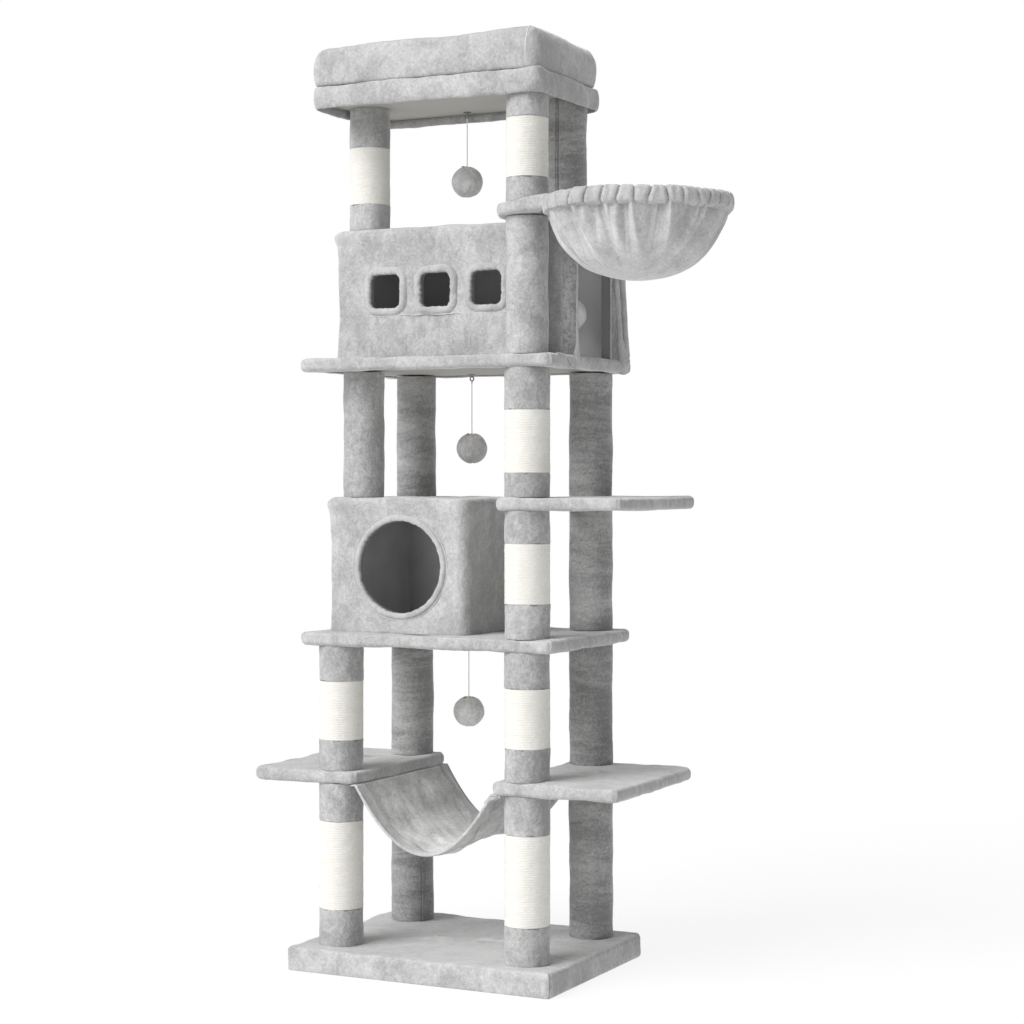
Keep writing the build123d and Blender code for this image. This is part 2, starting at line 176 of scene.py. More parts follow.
def loft(name, rows, material, wrap_rows=False, **keys):
    """A surface through closed rows of points, its first and last rows capped unless they wrap."""
    rows = np.asarray(rows, float)
    count, columns = rows.shape[:2]
    points = rows.reshape(-1, 3)
    faces = loft_faces(count, columns, wrap_rows)
    if not wrap_rows:
        first, last = len(points), len(points) + 1
        points = np.vstack([points, rows[0].mean(0), rows[-1].mean(0)])
        base = (count - 1) * columns
        for i in range(columns):
            following = (i + 1) % columns
            faces.append([following, i, first])
            faces.append([base + i, base + following, last])
    return mesh_piece(name, points, faces, material, **keys)


def flip_outward(piece):
    shape = bmesh.new()
    shape.from_mesh(piece.data)
    bmesh.ops.recalc_face_normals(shape, faces=shape.faces)
    shape.to_mesh(piece.data)
    shape.free()


def outward_loft(name, rows, material, **keys):
    """A loft whose faces are turned to look outward, whichever way its rows run."""
    piece = loft(name, rows, material, **keys)
    flip_outward(piece)
    return piece


def strand_cord(name, path, radius, material, body):
    """A thin cord of three twisted strands along a path."""
    around = turns(CORD_SIDES)
    run = line_run(path)
    steps = np.linspace(0, run[-1], max(2, int(run[-1] / (STRAND_TURN / 8))))
    rows = []
    for place, passed in zip(line_points(path, run, steps), steps):
        lobes = radius * (0.80 + 0.20 * np.abs(np.cos(1.5 * (around - passed / STRAND_TURN * tau))))
        rows.append(level_ring(place[0], place[1], lobes, unit(-around), place[2]))
    return loft(name, rows, material, body=body, slot="cord")


def toy_cord(name, material):
    """The cord runs straight down from its hook, pulled tight by the ball."""
    (x, y, top), length = TOYS[name]
    points = [(x, y, top), (x, y, top - length / 2), (x, y, top - length)]
    body = f"{name}_cord"
    cord = strand_cord(f"{name}_toy_string", spline_path(points), CORD_D / 2, material, body)
    loop = cord_loop(name, (x, y, top), material, body)
    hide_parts(f"{name}_toy_cord")
    spline_path(points)


def cord_loop(name, top, material, body):
    """The cord's end, tied in a small loop round the hook's ring, with its knot."""
    x, y, z = top
    turn = turns(LOOP_SIDES)
    loop_r, wire = 2.6 * MM, 0.7 * MM
    points = np.stack([np.full(LOOP_SIDES, x), y + 0.75 * loop_r * np.sin(turn),
                       z + 1.2 * MM + loop_r * np.cos(turn)], -1)
    rows = tube_rows(points, wire, closed=True)
    loop = loft(f"{name}_toy_loop", rows, material, wrap_rows=True, body=body, slot="cord")
    knot_z = z - 2.2 * MM
    knot_rows = []
    for tilt in np.linspace(-1, 1, 9):
        radius = 1.7 * MM * sqrt(max(0.02, 1 - tilt * tilt))
        ridge = 1 + 0.18 * np.sin(3 * turn + 4 * tilt)
        knot_rows.append(level_ring(x, y, radius * ridge, unit(turn), knot_z + 1.9 * MM * tilt))
    knot = loft(f"{name}_toy_knot", knot_rows, material, body=body, slot="cord")
    knot.parent = loop
    knot.matrix_parent_inverse = loop.matrix_world.inverted()
    return loop


# ---- shapes ----

def tube_rows(path, radius, closed=False, sides=12, squash=1.0):
    """Circles square to a path, for a round tube along it. Squash flattens the section."""
    path = np.asarray(path, float)
    ahead = np.roll(path, -1, 0) - np.roll(path, 1, 0)
    if not closed:
        ahead[0] = path[1] - path[0]
        ahead[-1] = path[-1] - path[-2]
    ahead /= np.linalg.norm(ahead, axis=1, keepdims=True)
    side = np.zeros_like(path)
    last = np.array([0.31, 0.17, 0.94]) if abs(ahead[0, 2]) < 0.9 else np.array([1.0, 0.13, 0])
    for i, run in enumerate(ahead):
        last = last - run * last.dot(run)
        last /= np.linalg.norm(last)
        side[i] = last
    other = np.cross(ahead, side)
    turn = turns(sides)
    radius = np.broadcast_to(np.asarray(radius, float), (len(path),))
    return (path[:, None] + radius[:, None, None] * (
        np.cos(turn)[None, :, None] * side[:, None]
        + squash * np.sin(turn)[None, :, None] * other[:, None]))


def field(seed, wavelength, waves=16):
    """A smooth uneven height, mostly from -1 to 1, over points in space."""
    draw = np.random.default_rng(seed)
    turn = draw.normal(size=(waves, 3))
    turn /= np.linalg.norm(turn, axis=1, keepdims=True)
    turn *= tau / (wavelength * draw.uniform(0.6, 1.6, size=(waves, 1)))
    phase = draw.uniform(0, tau, waves)
    return lambda points: np.sin(points @ turn.T + phase).sum(-1) / sqrt(waves) * 0.8


def bump(distance, width):
    return np.exp(-(distance / width) ** 2)


def ramp(value, low, high):
    """0 below low, 1 above high, and a smooth rise between them."""
    t = np.clip((value - low) / (high - low), 0, 1)
    return t * t * (3 - 2 * t)


def coords(piece):
    co = np.empty(len(piece.data.vertices) * 3)
    piece.data.vertices.foreach_get("co", co)
    return co.reshape(-1, 3)


def set_coords(piece, co):
    piece.data.vertices.foreach_set("co", np.ascontiguousarray(co).ravel())
    piece.data.update()


def normals(piece):
    out = np.empty(len(piece.data.vertices) * 3, np.float32)
    piece.data.vertex_normals.foreach_get("vector", out)
    return out.reshape(-1, 3).astype(float)


def soften(piece, seed, rough=1.0 * MM, fine=0.35 * MM, keep=None):
    """Uneven stuffing: long and short waves along the normals, and none where keep is 0."""
    co = coords(piece)
    amount = rough * field(seed, 0.110)(co) + fine * field(seed + 1, 0.028)(co)
    if keep is not None:
        amount = amount * keep(co)
    set_coords(piece, co + amount[:, None] * normals(piece))


def rounded_ring(half_x, half_y, corners, steps):
    """A rounded rectangle's points, anticlockwise from its +X side. Corners holds the radii at
    (+X, +Y), (-X, +Y), (-X, -Y) and (+X, -Y), and steps the points along X, along Y and per arc."""
    along_x, along_y, arc = steps
    signs = [(1, 1), (-1, 1), (-1, -1), (1, -1)]
    centres = [np.array([sx * (half_x - r), sy * (half_y - r)]) for (sx, sy), r in zip(signs, corners)]
    points = []
    for k in range(4):
        start = k * pi / 2
        angle = start + np.arange(arc) / arc * pi / 2
        points.append(centres[k] + corners[k] * unit(angle))
        end = np.array([cos(start + pi / 2), sin(start + pi / 2)])
        following = (k + 1) % 4
        first = centres[k] + corners[k] * end
        second = centres[following] + corners[following] * end
        count = along_x if k % 2 == 0 else along_y
        t = (np.arange(count) / count)[:, None]
        points.append(first * (1 - t) + second * t)
    return np.vstack(points)


def slab_rows(half, corners, profile, steps, centre=(0, 0)):
    """Rings of a rounded slab, one for each (inset, height) of the profile."""
    rows = []
    for inset, height in profile:
        radii = [max(r - inset, 1 * MM) for r in corners]
        ring = rounded_ring(max(half[0] - inset, 1.2 * MM), max(half[1] - inset, 1.2 * MM), radii, steps)
        rows.append(np.column_stack([ring + centre, np.full(len(ring), height)]))
    return np.array(rows)


def middle_and_half(low, high):
    """A box's middle and half its size, seen from above."""
    return (((low[0] + high[0]) / 2, (low[1] + high[1]) / 2),
            ((high[0] - low[0]) / 2, (high[1] - low[1]) / 2))


def lifted(base, points):
    """Profile points at heights above a base, from millimetres."""
    return [(inset * MM, base + rise * MM) for inset, rise in points]


def quarter(inset, height, radius, start, count=6):
    """Profile points on a quarter circle about (inset, height), from an angle in degrees."""
    angle = np.radians(start + np.arange(count + 1) / count * 90)
    return [(inset - radius * cos(a), height + radius * sin(a)) for a in angle]


def insets_to_middle(start, half, height):
    """Profile points across a flat face, closer together near its edge."""
    end = min(half) - 1.5 * MM
    t = np.array([0.03, 0.08, 0.16, 0.28, 0.42, 0.58, 0.76, 1.0])
    return [(start + (end - start) * k, height) for k in t]


def steps_for(half, corner, spacing):
    """Point counts for a rounded ring: along X, along Y and round a corner."""
    return (max(4, round(2 * (half[0] - corner) / spacing)), max(4, round(2 * (half[1] - corner) / spacing)),
            max(8, round(corner * pi / 2 / min(spacing, 3 * MM))))


# ---- materials ----

class Shader:
    """A material's node tree, with short calls for the nodes that are used here."""

    def __init__(self, name):
        self.material = bpy.data.materials.new(name)
        self.material.use_nodes = True
        self.tree = self.material.node_tree
        self.surface = self.tree.nodes["Principled BSDF"]
        self.place = self.tree.nodes.new("ShaderNodeTexCoord").outputs["Object"]

    def add(self, kind, inputs=(), **settings):
        node = self.tree.nodes.new(kind)
        for key, value in settings.items():
            setattr(node, key, value)
        for key, value in dict(inputs).items():
            self.put(node, key, value)
        return node

    def stretched(self, scale):
        return self.add("ShaderNodeMapping", {"Vector": self.place, "Scale": scale}).outputs[0]

    def noise(self, scale, detail=2.0, rough=0.5, stretch=None, distort=0.0):
        place = self.place if stretch is None else self.stretched(stretch)
        return self.add("ShaderNodeTexNoise", {"Vector": place, "Scale": scale, "Detail": detail,
                                               "Roughness": rough, "Distortion": distort}).outputs["Fac"]

    def scaled(self, value, low, high, out_low, out_high):
        return self.add("ShaderNodeMapRange", {"Value": value, "From Min": low, "From Max": high,
                                               "To Min": out_low, "To Max": out_high}).outputs[0]

    def layer(self, noise, low, high):
        """A noise, from its usual low to its usual high, as a value between two others."""
        return self.scaled(noise, 0.3, 0.7, low, high)

    def total(self, *values):
        result = values[0]
        for value in values[1:]:
            result = self.add("ShaderNodeMath", {0: result, 1: value}, operation="ADD").outputs[0]
        return result

    def tone(self, factor, dark, light):
        ramp_node = self.add("ShaderNodeValToRGB", {"Fac": factor})
        ramp_node.color_ramp.elements[0].color = (*dark, 1)
        ramp_node.color_ramp.elements[1].color = (*light, 1)
        return ramp_node.outputs[0]

    def relief(self, height, distance, strength=1.0, under=None):
        inputs = {"Height": height, "Distance": distance, "Strength": strength}
        if under is not None:
            inputs["Normal"] = under
        return self.add("ShaderNodeBump", inputs).outputs[0]

    def put(self, node, key, value):
        """Sets a node's input, or links it when the value is another node's output."""
        if isinstance(value, bpy.types.NodeSocket):
            self.tree.links.new(value, node.inputs[key])
        else:
            node.inputs[key].default_value = value

    def finish(self, color, roughness, normal=None, **constants):
        self.put(self.surface, "Base Color", color)
        self.put(self.surface, "Roughness", roughness)
        if normal is not None:
            self.put(self.surface, "Normal", normal)
        for key, value in constants.items():
            self.put(self.surface, key.replace("_", " "), value)
        return self.material


def grey(value, warm=0.0):
    return (value * (1 + warm), value, value * (1 - 1.6 * warm))


# How far past its light tone the palest pile goes, as a share of the step from dark to light
PALEST = 0.4


def plush_material(name, light=0.56, depth=0.60, streak=(1, 1, 0.7)):
    """Short pile plush: cloudy patches where the pile lies differently, clumps of fibre, and a pale sheen.
    Painted light: the colour is made paler on up-facing tops and darker on faces turned to +X, standing in for
    how the light falls on them. Depth is how much darker the dark patches are."""
    shader = Shader(name)
    clouds = shader.noise(13, 4.0, 0.62, streak, 0.6)
    blotch = shader.noise(48, 4.0, 0.68, streak, 1.0)
    clump = shader.noise(190, 2.0, 0.75)
    fibre = shader.noise(700, 2.0, 0.7)
    way = shader.add("ShaderNodeNewGeometry").outputs["Normal"]
    level = shader.add("ShaderNodeSeparateXYZ", {"Vector": way}).outputs
    # Besides the mottling, the last two terms paint light: paler on up-facing tops, darker on faces turned to
    # +X.
    mottle_and_painted_light = shader.total(
        shader.scaled(clouds, 0.40, 0.60, 0.02, 0.46), shader.scaled(blotch, 0.40, 0.60, 0, 0.34),
        shader.scaled(clump, 0.32, 0.68, -0.20, 0.30), shader.scaled(fibre, 0.25, 0.75, -0.38, 0.45),
        shader.scaled(level["Z"], 0.5, 0.95, 0, 0.50), shader.scaled(level["X"], 0.4, 0.95, 0, -0.28))
    color = shader.tone(shader.scaled(mottle_and_painted_light, 0, 1 + PALEST, 0, 1), grey(light * depth),
                        grey(light * (1 + PALEST * (1 - depth))))
    soft = shader.relief(blotch, 5 * MM, 0.5)
    normal = shader.relief(clump, 2.2 * MM, 0.5, soft)
    normal = shader.relief(fibre, 0.6 * MM, 0.7, normal)
    rough = shader.scaled(clump, 0.3, 0.7, 0.98, 0.86)
    return shader.finish(color, rough, normal, Sheen_Weight=1.0, Sheen_Roughness=0.30,
                         Specular_IOR_Level=0.18)


def sisal_material():
    """Pale sisal rope: thin fibres along the turns, with a few darker ones and flecks."""
    shader = Shader("sisal_rope")
    fibres = shader.noise(900, 3.0, 0.65, (0.25, 0.25, 1.6))
    strands = shader.noise(240, 2.0, 0.5, (0.5, 0.5, 1.3), 1.2)
    patches = shader.noise(22, 2.0, 0.5, (0.5, 0.5, 2.5))
    mix = shader.total(shader.layer(fibres, 0, 0.45), shader.layer(strands, 0, 0.35),
                       shader.layer(patches, 0, 0.25))
    color = shader.tone(mix, (0.68, 0.66, 0.605), (0.81, 0.80, 0.765))
    normal = shader.relief(strands, 0.7 * MM, 0.7)
    normal = shader.relief(fibres, 0.3 * MM, 0.8, normal)
    return shader.finish(color, shader.layer(fibres, 0.75, 0.95), normal, Specular_IOR_Level=0.25)


def board_material():
    """The bare underside of a board: pressed chips under a thin pale face."""
    shader = Shader("bare_board")
    chips = shader.noise(150, 3.0, 0.6, (1, 0.6, 1))
    stain = shader.noise(9, 2.0, 0.5)
    mix = shader.total(shader.layer(chips, 0, 0.5), shader.layer(stain, 0, 0.5))
    color = shader.tone(mix, (0.34, 0.328, 0.30), (0.43, 0.42, 0.39))
    return shader.finish(color, shader.layer(chips, 0.6, 0.8), shader.relief(chips, 0.3 * MM, 0.5))


def lining_material(name, dark, light, spread):
    """The flat grey felt that lines a condo, with painted light: paler towards its +X end, standing in for the
    light that comes in through its openings. Spread is where along X it starts and stops getting paler."""
    shader = Shader(name)
    felt = shader.noise(700, 3.0, 0.7)
    rub = shader.noise(14, 2.0, 0.5)
    along = shader.add("ShaderNodeSeparateXYZ", {"Vector": shader.place}).outputs["X"]
    # The rise along X is painted light, from the light that comes in through the openings.
    mix = shader.total(shader.layer(felt, 0, 0.10), shader.layer(rub, 0, 0.12),
                       shader.scaled(along, *spread, 0, 0.8))
    color = shader.tone(mix, grey(dark), grey(light))
    return shader.finish(color, 0.95, shader.relief(felt, 0.3 * MM, 0.6), Specular_IOR_Level=0.15)


def steel_material():
    shader = Shader("zinc_steel")
    grain = shader.noise(320, 2.0, 0.5, (1, 1, 0.2))
    color = shader.tone(grain, grey(0.20), grey(0.32))
    return shader.finish(color, shader.layer(grain, 0.28, 0.42), shader.relief(grain, 0.05 * MM, 0.4),
                         Metallic=0.9)


def plain_material(name, dark, light, scale, stretch=None, rough=(0.7, 0.9), height=0.2 * MM,
                   metallic=0.0):
    shader = Shader(name)
    grain = shader.noise(scale, 3.0, 0.6, stretch)
    color = shader.tone(shader.layer(grain, 0, 1), dark, light)
    return shader.finish(color, shader.layer(grain, *rough), shader.relief(grain, height, 0.6),
                         Metallic=metallic)


PLUSH = plush_material("grey_plush")
PLUSH_POST = plush_material("post_plush", 0.54, 0.55, (1, 1, 0.8))
PLUSH_DEEP = plush_material("folded_plush", 0.54, 0.70, (1, 1, 0.8))
# A darker copy of the post plush: painted shade for the rear posts.
PLUSH_REAR_PAINTED_SHADE = plush_material("rear_post_painted_shade_plush", 0.50, 0.46, (0.22, 0.22, 1.0))
# A darker copy of the plush: painted shade on the upper condo's +X side and in the hammock's stitch lines.
PLUSH_PAINTED_SHADE = plush_material("painted_shade_plush", 0.46, 0.34, (1, 1, 0.6))
PLUSH_HAMMOCK = plush_material("hammock_plush", 0.78, 0.55, (1, 0.6, 1))
PLUSH_BOWL = plush_material("bowl_plush", 0.62, 0.66, (1, 1, 0.8))
# Paler plush: a painted highlight along the perch's seam ridges.
PLUSH_SEAM_HIGHLIGHT = plush_material("seam_highlight_plush", 0.80, 0.80, (1, 1, 0.8))
BALL_PLUSH = plush_material("ball_plush", 0.88, 0.60, (1, 1, 0.5))
SISAL = sisal_material()
BARE_BOARD = board_material()
# Dark felt on the cut edges of the openings: painted shade.
JAMB_PAINTED_SHADE = lining_material("jamb_painted_shade", 0.21, 0.26, (0.0, 0.3))
# Room linings grow paler towards +X: painted light through the openings.
LINING = lining_material("lower_room_lining", 0.36, 0.98, (-0.208, -0.125))
PALE_LINING = lining_material("upper_room_lining", 0.40, 0.95, (0.09, 0.15))
STEEL = steel_material()
CORD = plain_material("white_cord", grey(0.80), grey(0.90), 1500, (1, 1, 0.4))
CARDBOARD = plain_material("cardboard_tube", (0.30, 0.22, 0.14), (0.42, 0.32, 0.22), 60, (1, 1, 0.3))
WOOD = plain_material("wood_plug", (0.42, 0.31, 0.19), (0.58, 0.45, 0.30), 90, (1, 1, 0.15))
BRASS = plain_material("brass_bead", (0.50, 0.38, 0.18), (0.66, 0.52, 0.28), 400, None, (0.25, 0.4),
                       0.02 * MM, 0.9)
# The finish of each CAD piece that is shown as it is. Boards are bare board.
NODE_MATERIALS = {"post_tubes": CARDBOARD, "post_plugs": WOOD, "post_bolts": STEEL,
                  "basket_hoop": STEEL, "hammock_screws": STEEL, "toy_hooks": STEEL}


def paint_nodes():
    """Carried-over CAD pieces take their finish through their own material slots."""
    for name, node in nodes.items():
        material = NODE_MATERIALS.get(name, BARE_BOARD if name.endswith("_board") else None)
        if material:
            for slot in node.material_slots:
                slot.material = material


paint_nodes()
for toy in TOYS:
    toy_cord(toy, CORD)


# ---- posts ----

PLUSH_THICK = 4 * MM
WIND_PITCH = 4.4 * MM
WIND_DEPTH = 0.75 * MM
POST_SIDES = 112
# Where a sleeve's extra columns lie, in millimetres from its seam, and how far they reach
SEAM_COLUMNS = np.array([-5, -4, -3.2, -2.4, -1.6, -0.8, 0, 0.8, 1.6, 2.4, 3.2, 4, 5])
SEAM_REACH = 5.8 * MM
FACE_AWAY = 200
# The sisal band's bottom and top on each post that has one
BANDS = {
    "base_front_left": (0.115, 0.281), "base_front_right": (0.115, 0.281),
    "lower_front_left": (0.436, 0.547), "lower_front_right": (0.439, 0.548),
    "middle_front_right": (0.703, 0.813), "step_front_right": (0.943, 1.058),
    "perch_front_right": (1.483, 1.592), "perch_front_left": (1.463, 1.572),
}
# Which way each seam faces, in degrees from the front towards +X. The others face away.
SEAMS = {"base_rear_left": 59, "lower_rear_left": 148, "perch_rear_right": -2, "base_rear_right": 118,
         "lower_rear_right": 175, "middle_rear_right": 160, "step_rear_right": 130}
ROOF_POSTS = [(-0.177, -0.090), (-0.177, 0.118)]


def facing(degrees):
    """A level direction, from the front towards +X."""
    return np.array([sin(radians(degrees)), -cos(radians(degrees)), 0])


def sleeve_turn(seam, radius):
    """The angles of a sleeve's columns, with extra ones across its seam."""
    turn = turns(POST_SIDES)
    middle = (radians(seam) - pi / 2) % tau
    kept = turn[np.abs(turn_gap(turn, middle)) > SEAM_REACH / radius]
    return np.sort(np.concatenate([kept, (middle + SEAM_COLUMNS * MM / radius) % tau]))


def sleeve_rows(x, y, low, high, radius, seam, seed, open_low, open_high):
    """The plush tube of one length of post: out of one end, up the outside, and down inside. An
    open end rolls in over the sisal, and any other is pinched against its board."""
    turn = sleeve_turn(seam, radius)
    sides = len(turn)
    around = unit(turn)
    heights = [low, low + 0.8 * MM, low + 2.2 * MM, low + 4 * MM]
    heights += list(np.linspace(low + 8 * MM, high - 8 * MM, max(4, round((high - low) / (5 * MM)))))
    heights += [high - 4 * MM, high - 2.2 * MM, high - 0.8 * MM, high]
    edge = field(seed + 5, 0.021)
    ripple = field(seed, 0.075)
    grain = field(seed + 2, 0.018)
    seam_way = facing(seam)[:2]
    apart = np.arccos(np.clip(around @ seam_way, -1, 1)) * radius
    rows = []
    for z in heights:
        from_end = min(z - low, high - z)
        roll = 0.8 * MM * (1 - ramp(from_end, 0, 2.4 * MM))
        points = np.column_stack([x + radius * around, np.full(sides, z)])
        height = 0.9 * MM * ripple(points) + 0.25 * MM * grain(points)
        height += 0.7 * MM * bump(apart, 1.0 * MM) - 2.6 * MM * bump(apart - 2.3 * MM, 1.1 * MM)
        shift = np.zeros(sides)
        if (open_low and z - low < 4.5 * MM) or (open_high and high - z < 4.5 * MM):
            shift = 0.9 * MM * edge(points)
        reach = radius - roll + np.clip(height, -3 * MM, 1.6 * MM)
        rows.append(level_ring(x, y, reach, around, z + shift))
    inner = radius - PLUSH_THICK + 0.2 * MM
    rows += [level_ring(x, y, inner, around, z) for z in (high, (high + low) / 2, low)]
    return rows


def sisal_rows(x, y, low, high, radius, seed):
    """Rope wound side by side up a post, as ridges that climb one pitch a turn."""
    turn = turns(POST_SIDES)
    around = unit(turn)
    count = round((high - low) / (WIND_PITCH / 7))
    slack = field(seed, 0.045)
    proud = field(seed + 1, 0.022)
    strand = field(seed + 2, 0.007)
    rows = []
    for z in np.linspace(low, high, count):
        points = np.column_stack([radius * around, np.full(POST_SIDES, z)])
        wound = (z + 0.8 * MM * slack(points)) / WIND_PITCH - turn / tau
        across = 2 * (wound - np.floor(wound)) - 1
        ridge = np.sqrt(np.clip(1 - across ** 2, 0, 1))
        reach = (radius - WIND_DEPTH + WIND_DEPTH * ridge + 0.25 * MM * proud(points)
                 + 0.12 * MM * strand(points))
        rows.append(level_ring(x, y, reach, around, z))
    rows += [level_ring(x, y, radius - 3 * MM, around, z) for z in (high, low)]
    return rows


def add_post(name, node, x, y, radius, low, high, seed):
    seam = SEAMS.get(name, FACE_AWAY)
    band = BANDS.get(name)
    spans = [(low, high, False, False)]
    if band:
        spans = [(low, band[0], False, True), (band[1], high, True, False)]
    for k, (bottom, top, *open_ends) in enumerate(spans):
        rows = sleeve_rows(x, y, bottom, top, radius, seam, seed + 7 * k, *open_ends)
        part = "sleeve" if not band else ("lower_sleeve", "upper_sleeve")[k]
        # Rear posts take the darker copy of the plush: painted shade.
        piece = loft(f"{name}_{part}", rows, PLUSH_REAR_PAINTED_SHADE if "rear" in name else PLUSH_POST, wrap_rows=True)
        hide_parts(node)
    if band:
        rows = sisal_rows(x, y, *band, radius, seed + 3)
        sisal = loft(f"{name}_sisal", rows, SISAL, wrap_rows=True, slot="sisal")
        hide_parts("sisal_wraps")
        add_staples(name, x, y, band, radius, seed)


STAPLE_HALF = 3.2 * MM
STAPLE_WIRE = 0.45 * MM


def add_staples(name, x, y, band, radius, seed):
    """Small wire staples that hold the plush edges and the rope's ends."""
    draw = np.random.default_rng(seed)
    rows, faces, start = [], [], 0
    for z in (band[0] - 1.5 * MM, band[1] + 1.5 * MM):
        for centre in draw.uniform(-60, 110, 3):
            tilt = draw.uniform(-1, 1) * MM
            path = []
            for t in (-1.2, -1, -0.5, 0, 0.5, 1, 1.2):
                angle = radians(centre) + t * STAPLE_HALF / radius
                reach = radius + (0.1 * MM if abs(t) <= 1 else -2 * MM)
                path.append((x + reach * sin(angle), y - reach * cos(angle), z + tilt * t))
            tube = tube_rows(path, STAPLE_WIRE, sides=6)
            rows.append(tube.reshape(-1, 3))
            faces += [[i + start for i in f] for f in loft_faces(len(path), 6)]
            start += len(path) * 6
    mesh_piece(f"{name}_staples", np.vstack(rows), faces, STEEL, slot="steel")


def add_posts():
    seed = 100
    for node in sorted(nodes):
        if not node.endswith("_post_sleeve"):
            continue
        name = node[:-len("_post_sleeve")]
        low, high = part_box(node)
        radius = (high.x - low.x) / 2
        if name == "condo_roof":
            for k, (x, y) in enumerate(ROOF_POSTS):
                add_post(f"{name}_{('front', 'rear')[k]}", node, x, y, radius, low.z, high.z, seed + k * 13)
        else:
            add_post(name, node, (low.x + high.x) / 2, (low.y + high.y) / 2, radius, low.z, high.z, seed)
        seed += 31


add_posts()

# ---- covered boards ----

CORNER_R = 25 * MM
EDGE_R = 9 * MM
# How far each cover's plush is folded under its board
FOLD = 29 * MM
# Corner radii at (+X, +Y), (-X, +Y), (-X, -Y) and (+X, -Y)
BASE_CORNERS = [20 * MM, 18 * MM, 13 * MM, 8 * MM]
DECK_CORNERS = [22 * MM, 22 * MM, 18 * MM, 20 * MM]


def cover_profile(half, bottom, top, floor_board=False):
    """From the middle of the cover's inner face, out and round under the board, then back out, up
    the side and over the top to the middle."""
    inner_top = top - PLUSH_THICK + 0.2 * MM
    middle = min(half) - 1.5 * MM
    inner = [(middle, inner_top), (60 * MM, inner_top), (4.2 * MM, inner_top)]
    if floor_board:
        outer = [(4.2 * MM, bottom + 0.5 * MM), (1.4 * MM, bottom), (0.5 * MM, bottom + 1.5 * MM),
                 (0, bottom + 5 * MM)]
        outer += [(0, z) for z in np.linspace(bottom + 9 * MM, top - EDGE_R - 2 * MM, 5)]
    else:
        inner += [(4.2 * MM, bottom + 3.2 * MM), (FOLD - 0.5 * MM, bottom + 3.2 * MM)]
        outer = [(FOLD, bottom + 2.6 * MM), (FOLD - 0.4 * MM, bottom + 0.9 * MM),
                 (FOLD - 2 * MM, bottom + 0.1 * MM)]
        outer += [(inset, bottom) for inset in (22 * MM, 17 * MM, 12.5 * MM)]
        outer += quarter(EDGE_R, bottom + EDGE_R, EDGE_R, -90)
        outer += [(0, (bottom + top) / 2)]
    outer += quarter(EDGE_R, top - EDGE_R, EDGE_R, 0)
    outer += insets_to_middle(EDGE_R, half, top)
    return inner + outer, len(inner)


def corner_points(centre, half, corner):
    """The middle of each rounded corner's arc."""
    shift = corner * (1 - sqrt(0.5))
    return [np.array([centre[0] + sx * (half[0] - shift), centre[1] + sy * (half[1] - shift)])
            for sx in (1, -1) for sy in (1, -1)]


def crease_corners(piece, centre, half, low, high, depth):
    """The cover's folded corners: a tight upright slit with a puffed lip beside it."""
    co = coords(piece)
    out = normals(piece)
    amount = np.zeros(len(co))
    upright = ramp(co[:, 2], low, low + 3 * MM) * (1 - ramp(co[:, 2], high - 3 * MM, high + 1 * MM) * 0.4)
    for k, point in enumerate(corner_points(centre, half, CORNER_R)):
        away = point - np.array(centre)
        away /= np.linalg.norm(away)
        along = (co[:, :2] - point) @ np.array([-away[1], away[0]])
        near = np.linalg.norm(co[:, :2] - point, axis=1) < 16 * MM
        lean = 0.08 * (co[:, 2] - low) * (1 if k % 2 else -1)
        cut = -depth * bump(along - lean, 1.5 * MM) + 1.0 * MM * bump(along - lean - 4 * MM, 2.6 * MM)
        amount += near * upright * cut
    set_coords(piece, co + amount[:, None] * out)


def seam_ridge(name, path, radius, material):
    """A thin raised seam or fold lip along a line on a plush surface."""
    ends = np.sin(pi * np.clip(np.linspace(0.08, 0.92, len(path)), 0, 1)) ** 0.4
    outward_loft(name, tube_rows(path, radius * ends, sides=8), material)


def add_cover(name, seed, floor_board=False):
    node = f"{name}_cover"
    low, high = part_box(node)
    centre, half = middle_and_half(low, high)
    profile, inner_rows = cover_profile(half, low.z, high.z, floor_board)
    corners = BASE_CORNERS if floor_board else DECK_CORNERS
    rows = slab_rows(half, corners, profile, steps_for(half, CORNER_R, 7 * MM), centre)
    piece = loft(f"{name}_plush", rows, PLUSH)
    inner = inner_rows * rows.shape[1]

    def keep(co):
        mask = np.ones(len(co))
        mask[:inner] = 0
        if floor_board:
            mask *= ramp(co[:, 2], low.z, low.z + 8 * MM)
        return mask

    soften(piece, seed, 1.3 * MM, 0.45 * MM, keep)
    crease_corners(piece, centre, half, low.z, high.z, (2.2 if floor_board else 1.0) * MM)
    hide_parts(node)
    if floor_board:
        grid = coords(piece)[:rows.shape[0] * rows.shape[1]].reshape(rows.shape)
        corner = np.array([high.x, low.y])
        column = np.argmin(np.linalg.norm(rows[inner_rows + 4, :, :2] - corner, axis=1))
        seam_ridge("base_corner_seam", grid[inner_rows + 1:inner_rows + 16, column], 1.3 * MM, PLUSH)


for number, cover in enumerate(("lower_left", "lower_right", "middle", "step", "upper")):
    add_cover(cover, 500 + 11 * number)
add_cover("base", 570, floor_board=True)


# ---- condos ----

def solid_rows(low, high, corners, edge, spacing):
    """Rings of a closed box with rounded upright corners and a rounded top edge."""
    centre, half = middle_and_half(low, high)
    profile = list(reversed(insets_to_middle(2 * MM, half, low[2])))
    profile += lifted(low[2], [(0.6, 0.2), (0, 1.5)])
    count = max(4, round((high[2] - low[2]) / spacing))
    profile += [(0, z) for z in np.linspace(low[2] + spacing, high[2] - edge - 1 * MM, count)]
    profile += quarter(edge, high[2] - edge, edge, 0)
    profile += insets_to_middle(edge, half, high[2])
    return slab_rows(half, corners, profile, steps_for(half, max(corners), spacing), centre)


